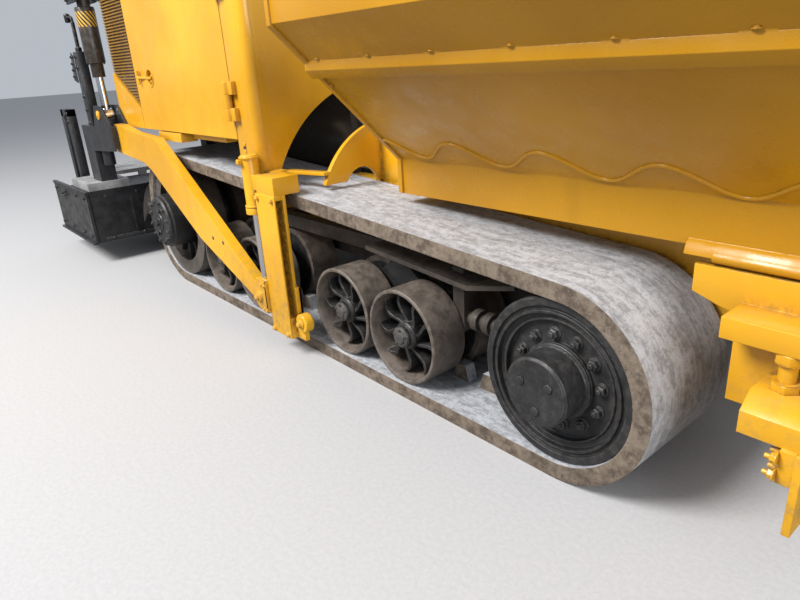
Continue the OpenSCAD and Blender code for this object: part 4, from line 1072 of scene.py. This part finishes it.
g.done("screed_ledge", "ledge", 2.0, body="screed")

# Grip tread on walkway, ledge and deck
g = Shape()
g.tread((-4845, -4375), (-1175, 1175), 610.0, 30.0)
for g.side in BOTH:
    g.tread((-4345, -4140), (1195, 1482), 608.0, 30.0)
g.done("walkway_tread", "ledge", body="screed")
g = Shape()
g.tread((-3610, -2670), (-1200, 1200), 2000.0, 36.0, 10.0)
g.done("deck_tread", "black")

# Conveyor chains: side plates and rollers in a row along each floor
g = Shape()
for g.side in BOTH:
    for y in (58.0, 560.0):
        for i in range(57):
            x = -3420.0 + i * 72.0
            w = 9 if i % 2 else 14
            for o in BOTH:
                g.prism([(x - 6, 744), (x + 78, 744), (x + 84, 756), (x + 78, 768), (x - 6, 768),
                         (x - 12, 756)], (y + o * w, y + o * (w + 4)))
            g.solid((x, y - 19, 756), OUT, [(0, 6), (38, 6)], 8)
            g.solid((x, y - 8, 756), OUT, [(0, 13), (16, 13)], 12)
g.done("conveyor_chains", "dark")

# Hood louvres, handles and latches; exhaust clamps, guard, cap and flap
g = Shape()
for g.side in BOTH:
    for i in range(12):
        x = -2560.0 + i * 34.0
        z = 2110.0 - 30.0 * (x + 2634.0) / 833.0
        g.prism([(x, z - 1), (x + 22, z - 2), (x + 20, z + 3), (x + 4, z + 9)], (180, 560))
    for x in (-2480, -1990):
        g.tube([(x - 70, 735, 2040), (x - 70, 775, 2040), (x - 66, 781, 2040), (x, 783, 2040),
                (x + 66, 781, 2040), (x + 70, 775, 2040), (x + 70, 735, 2040)], 9)
    for x in (-2380, -2080):
        g.boxes((x - 22, x + 22, 758, 766, 1972, 2020), (x - 14, x + 14, 764, 776, 1984, 2012))
g.done("hood_fittings", "yellow", 1.5, body="hood")
PIPE_X, PIPE_Y = -2440, 930
g = Shape()
for z in (1966, 2100, 2330, 2500):
    g.hoop((PIPE_X, PIPE_Y, z), UP, [(0, 54), (0, 59), (3, 61), (19, 61), (22, 59), (22, 54)], 40)
g.hoop((PIPE_X, PIPE_Y, 2516), UP, [(0, 54), (4, 56), (14, 38), (14, 30)], 40)
for i in range(7):
    for k in range(12):
        t = 2.0 * pi * (k + 0.5 * (i % 2)) / 12
        g.solid((PIPE_X + 54.5 * cos(t), PIPE_Y + 54.5 * sin(t), 2140 + 26 * i),
                (cos(t), sin(t), 0), [(0, 6), (1.6, 5)], 10)
g.hoop((PIPE_X, PIPE_Y, 2782), UP, [(0, 38.2), (0, 44), (16, 44), (16, 38.2)], 32)
g.turned((-2396, PIPE_Y, 2786), (-0.46, 0, 0.89), [(0, 0), (0, 0.01), (4, 0)], 6)
g.prism([(-2484, 2796), (-2394, 2832), (-2396, 2837), (-2486, 2801)], (896, 964))
g.rod((-2486, 900, 2799), (-2486, 960, 2799), 6)
g.done("exhaust_fittings", "dark", 0.8)

# Control consoles: cabinet with an inset sloping face, gauges, switches and levers
g = Shape()
g.prism([
    (-2700, DECK_Z), (-2700, 2900), (-2840, 2940), (-2970, 2760), (-2900, 2620),
    (-2840, DECK_Z)], (-1000, 1000))
g.done("operator_console", "cabinet", 10.0, node="operator_stations")
TILT = (-0.81, 0.0, 0.586)


# A place on the console's face: t runs up it from 0 to 1, lift is out of it
def face(t, y, lift=6.0):
    return (-2970 + 130 * t - 0.81 * lift, y, 2760 + 180 * t + 0.586 * lift)


panel = Shape()
glass = Shape()
knobs = Shape()
for y0, y1 in ((-985, -560), (-530, -60), (60, 530), (560, 985)):
    corners = ((0.08, y0), (0.92, y0), (0.92, y1), (0.08, y1))
    panel.add([P(*face(t, y, lift)) for lift in (1.0, 6.0) for t, y in corners], [
        (0, 1, 2, 3), (4, 5, 6, 7), (0, 1, 5, 4), (1, 2, 6, 5), (2, 3, 7, 6), (3, 0, 4, 7)])
    for t in (0.16, 0.84):
        for y in (y0 + 14, y1 - 14):
            panel.solid(face(t, y), TILT, [(0, 6), (2.5, 5)], 12)
for y in (-480, -370, 370, 480):
    knobs.hoop(face(0.58, y), TILT, [(0, 30), (0, 38), (8, 38), (11, 35), (11, 31)], 36)
    glass.solid(face(0.58, y), TILT, [(0, 30), (5, 30), (6, 28)], 36)
for y in (*range(-300, -80, 44), *range(100, 320, 44), 610, 930):
    knobs.solid(face(0.74, y), TILT, [
        (0, 11), (4, 11), (5, 8), (5, 4), (26, 3.4), (29, 5), (31, 3)], 14)
    knobs.solid(face(0.38, y), TILT, [(0, 15), (3, 15), (3, 11), (13, 10), (15, 8)], 18)
for y in (-541, 640, 900):
    knobs.turned(face(0.42, y), TILT, [
        (0, 0), (0, 26), (6, 25), (14, 14), (18, 7), (86, 5.5), (90, 12), (104, 17), (120, 17),
        (130, 12), (134, 0)], 20)
glass.turned(face(0.42, 780), TILT, [(0, 0), (0, 46), (6, 46), (6, 42), (7, 0)], 36)
panel.done("console_panels", "panel", 1.0)
glass.done("console_gauges", "dial")
knobs.done("console_controls", "plastic")
stop = Shape()
for y in (-330, 870):
    stop.turned(face(0.75, y), TILT, [
        (0, 0), (0, 14), (12, 13), (14, 20), (24, 20), (29, 14), (30, 0)], 28)
stop.done("stop_buttons", "red")
low = Shape()
for y in (-880, -560, -240, 240, 560, 880):
    low.prism([(-2842.5, 2060), (-2848, 2060), (-2893, 2560), (-2888, 2560)], (y - 120, y + 120))
    for dy in (-100, 100):
        for x, z in ((-2849, 2080), (-2892, 2540)):
            low.solid((x, y + dy, z), (-1, 0, 0.1), [(0, 7), (3, 6)], 10)
low.done("console_covers", "panel", 1.0)


# Cushions: a rounded block, filled by cloth under pressure, then sewn channels and a welt
SETTLE = 20
SWELL = 0.012


def filled(size, channels):
    bm = bmesh.new()
    bmesh.ops.create_cube(bm, size=1.0)
    bmesh.ops.scale(bm, vec=size, verts=bm.verts)
    bmesh.ops.bevel(bm, geom=bm.edges[:], offset=0.022, segments=3, profile=0.5, affect="EDGES")
    ob = in_scene("pad", made(bm, "pad"))
    m = ob.modifiers.new("even", "REMESH")
    m.mode = "VOXEL"
    m.voxel_size = 0.011
    ob.data = evaluated(ob)
    rest = [v.co.copy() for v in ob.data.vertices]
    c = ob.modifiers.new("cloth", "CLOTH")
    c.settings.use_pressure = True
    c.settings.uniform_pressure_force = 4.0
    c.settings.effector_weights.gravity = 0.0
    c.point_cache.frame_start = 1
    c.point_cache.frame_end = SETTLE
    for f in range(1, SETTLE + 1):
        scene.frame_set(f)
    blown = evaluated(ob)
    for v, a, b in zip(ob.data.vertices, rest, blown.vertices):
        d = b.co - a
        if d.length > SWELL:
            d *= SWELL / d.length
        v.co = a + d
    scene.frame_set(1)
    m = ob.modifiers.new("fine", "SUBSURF")
    m.levels = 1
    m.render_levels = 1
    ob.data = evaluated(ob)
    half = [v / 2.0 for v in size]
    for v in ob.data.vertices:
        x, y, z = v.co
        rim = max(abs(x) / half[0], abs(y) / half[1])
        if z > 0.0:
            v.co.z += 0.014 * max(0.0, 1.0 - rim ** 2.2)
            for cx in channels:
                v.co.z -= 0.009 * exp(-((x - cx) / 0.007) ** 2) * (1.0 - max(0.0, rim - 0.86) * 5.0)
            for cy in (-0.62, 0.62):
                depth = 0.008 * exp(-((y - cy * half[1]) / 0.007) ** 2)
                v.co.z -= depth * (1.0 if rim < 0.9 else 0.4)
        elif z < -half[2] * 0.8:
            v.co.z = -half[2]
        if abs(y) > half[1] * 0.9:
            v.co.y -= copysign(sin(pi * (0.5 + 0.5 * x / half[0])) * 0.006, y)
    return ob


def cushion(source, name, place, tilt):
    ob = in_scene(name, source.data.copy())
    ob.data.transform(Matrix.Translation(P(*place)) @ Matrix.Rotation(tilt, 4, "Y"))
    ob.data.materials.clear()
    ob.data.materials.append(M["seat"])
    ob.data.polygons.foreach_set("use_smooth", [True] * len(ob.data.polygons))
    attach(ob, "tractor")


def welt(g, place, tilt, half, z):
    m = Matrix.Rotation(tilt, 4, "Y")
    pts = []
    r = 0.036
    for cx, cy, a0 in ((1, 1, 0), (-1, 1, 90), (-1, -1, 180), (1, -1, 270), (1, 1, 360)):
        for k in range(7 if a0 < 360 else 1):
            t = radians(a0 + 15 * k)
            v = m @ Vector((cx * (half[0] - r) + r * cos(t), cy * (half[1] - r) + r * sin(t), z))
            pts.append((place[0] + v.x * 1000, place[1] + v.y * 1000, place[2] + v.z * 1000))
    g.tube(pts, 5.0, 8)


SEAT_X = -3296
LEAN = radians(-90.0 + 7.0)
seat_form = filled((0.45, 0.45, 0.082), (-0.09, 0.05))
back_form = filled((0.56, 0.43, 0.068), (-0.14, 0.0, 0.14))
g = Shape()
h = Shape()
for s, side in SIDES:
    y = 760 * s
    cushion(seat_form, "seat_cushion_" + side, (SEAT_X, y, 2436), 0.0)
    cushion(back_form, "seat_back_" + side, (-3510, y, 2792), LEAN)
    welt(g, (SEAT_X, y, 2440), 0.0, (0.226, 0.226), 0.012)
    welt(g, (-3510, y, 2792), LEAN, (0.281, 0.216), 0.010)
    bellows = [(150 + 22 * i + d, 58 + r) for i in range(8) for d, r in ((0, 0), (11, 16))]
    h.solid((SEAT_X, y, DECK_Z), UP, [
        (0, 120), (10, 120), (14, 112), (14, 62), (150, 58), *bellows, (326, 58), (330, 90),
        (352, 90)], 40)
    h.boxes(
        (-3520, -3076, y - 215, y + 215, 2352, 2378), (-3524, -3070, y - 222, y + 222, 2378, 2394),
        (-3572, -3552, y - 60, y + 60, 2386, 3000), (-3572, -3500, y - 60, y + 60, 2378, 2394))
    for o in BOTH:
        h.tube([
            (-3562, y + 215 * o, 2560), (-3562, y + 238 * o, 2580),
            (-3556, y + 240 * o, 2620)], 12)
        arm = [
            (-3570, 2608), (-3545, 2638), (-3260, 2646), (-3240, 2632), (-3245, 2612),
            (-3540, 2604)]
        h.prism(arm, (y + 240 * o - 22, y + 240 * o + 22))
        for a in (45, 135, 225, 315):
            t = radians(a)
            h.bolt((SEAT_X + 100 * cos(t), y + 100 * sin(t), 2010.3), UP, 16)
bpy.data.objects.remove(seat_form)
bpy.data.objects.remove(back_form)
g.done("seat_welts", "seat")
h.done("seat_frames", "plastic", 3.0)

# Steering wheel: hub cap and a knob on the rim
COLUMN_AXIS = (-0.809, 0.0, 0.588)
g = Shape()
hub = Vector((-2905, -760, 2850)) + Vector(COLUMN_AXIS) * 60.0
g.turned(tuple(hub), COLUMN_AXIS, [(-6, 0), (-6, 34), (8, 34), (16, 26), (18, 0)], 32)
knob = hub + Vector((0.588, 0.0, 0.809)) * 170.0
g.turned(tuple(knob), COLUMN_AXIS, [
    (10, 0), (10, 9), (26, 8), (32, 18), (52, 20), (60, 14), (62, 0)], 20)
g.done("steering_hub", "plastic", body="steering_wheel")

# Canopy: lamps, post gussets and feet, roof seams, edge strips; handrail flanges on the deck
LAMP_Y, LAMP_Z = 999, 3485
lens = Shape()
bezel = Shape()
trim = Shape()
for s in BOTH:
    lens.side = bezel.side = trim.side = s
    for x, d in ((-3656, -1), (-2580, 1)):
        at = (x + 45 * d, LAMP_Y, LAMP_Z)
        bezel.bar_x((x - 45, x + 45), LAMP_Y, LAMP_Z, 62)
        bezel.box(x - 12, x + 12, 989, 1009, LAMP_Z, 3561)
        lens.turned(at, (d, 0, 0), [(-2, 0), (-2, 52), (3, 50), (7, 34), (8.5, 16), (9, 0)], 36)
        bezel.hoop(at, (d, 0, 0), [(-8, 62), (-8, 66), (8, 66), (11, 62), (9, 54), (0, 52)], 40)
        for y in range(953, 1044, 18):
            bezel.box(x - 35, x + 35, y, y + 3, 3540, 3552)
        trim.box(x - 30, x + 30, 960, 1038, 3554, 3561)
    for x in (-3536, -2710):
        for a, b in ((x, x - 90), (x + 50, x + 140)):
            trim.prism([(a, 3560.3), (b, 3560.3), (a, 3440)], (1150, 1160))
        trim.box(x - 35, x + 85, 1119, 1209, DECK_Z, 2012)
        trim.bolts(UP, 18, (x - 22, x + 72), (1130, 1198), (2012,))
for y in (-820, -410, 0, 410, 820):
    trim.prism([(-3690, 3650.3), (-2546, 3650.3), (-2560, 3668), (-3676, 3668)], (y - 22, y + 22))
for x0, x1 in ((-3714, -3720), (-2522, -2516)):
    trim.prism([(x0, 3566), (x1, 3572), (x1, 3640), (x0, 3646)], (-1220, 1220))
for trim.side in BOTH:
    for x in (-3586, -3138, -2690):
        trim.solid((x, 1209, DECK_Z), UP, [(0, 48), (8, 48), (10, 45), (10, 22), (22, 19.3)], 32)
lens.done("lamp_lenses", "lens")
bezel.done("lamp_bezels", "plastic", 0.6)
trim.done("canopy_trim", "yellow", 1.2)

# Plain pale floor: the camera sees it light, and it throws less light back on the machine
bm = bmesh.new()
bmesh.ops.create_grid(bm, x_segments=1, y_segments=1, size=60.0)
floor = in_scene("floor", made(bm, "floor"))
t = Tree("floor_grey")
grain = t.noise(60.0, 8.0, 0.7)
pale = t.mix(t.step(grain, 0.35, 0.65), (0.41, 0.41, 0.42), (0.445, 0.445, 0.455))
seen = t.node("LightPath", {}, "Is Camera Ray")
color = t.mix(seen, (0.20, 0.195, 0.19), pale)
floor.data.materials.append(t.finish(color, 0.9, t.bump(grain, 0.003, 0.4)))

# Soft light from the sky, one large lamp above and a weaker one in front
world = bpy.data.worlds.new("sky")
world.use_nodes = True
bg = world.node_tree.nodes["Background"]
bg.inputs[0].default_value = (0.86, 0.92, 1.0, 1.0)
bg.inputs[1].default_value = 0.55
scene.world = world


def lamp(name, place, target, watts, color):
    d = bpy.data.lights.new(name, "AREA")
    d.shape = "DISK"
    d.size = 5.0
    d.energy = watts
    d.color = color
    aim = (Vector(place) - Vector(target)).to_track_quat("Z", "Y").to_matrix().to_4x4()
    in_scene(name, d).matrix_world = Matrix.Translation(place) @ aim


lamp("sky_lamp", (-1.5, -8.0, 8.5), (-0.5, 0.0, 0.8), 2000.0, (1.0, 0.98, 0.95))
lamp("front_fill", (9.5, -2.5, 3.2), (1.0, -0.8, 0.9), 420.0, (1.0, 0.99, 0.97))
scene.view_settings.view_transform = "Standard"
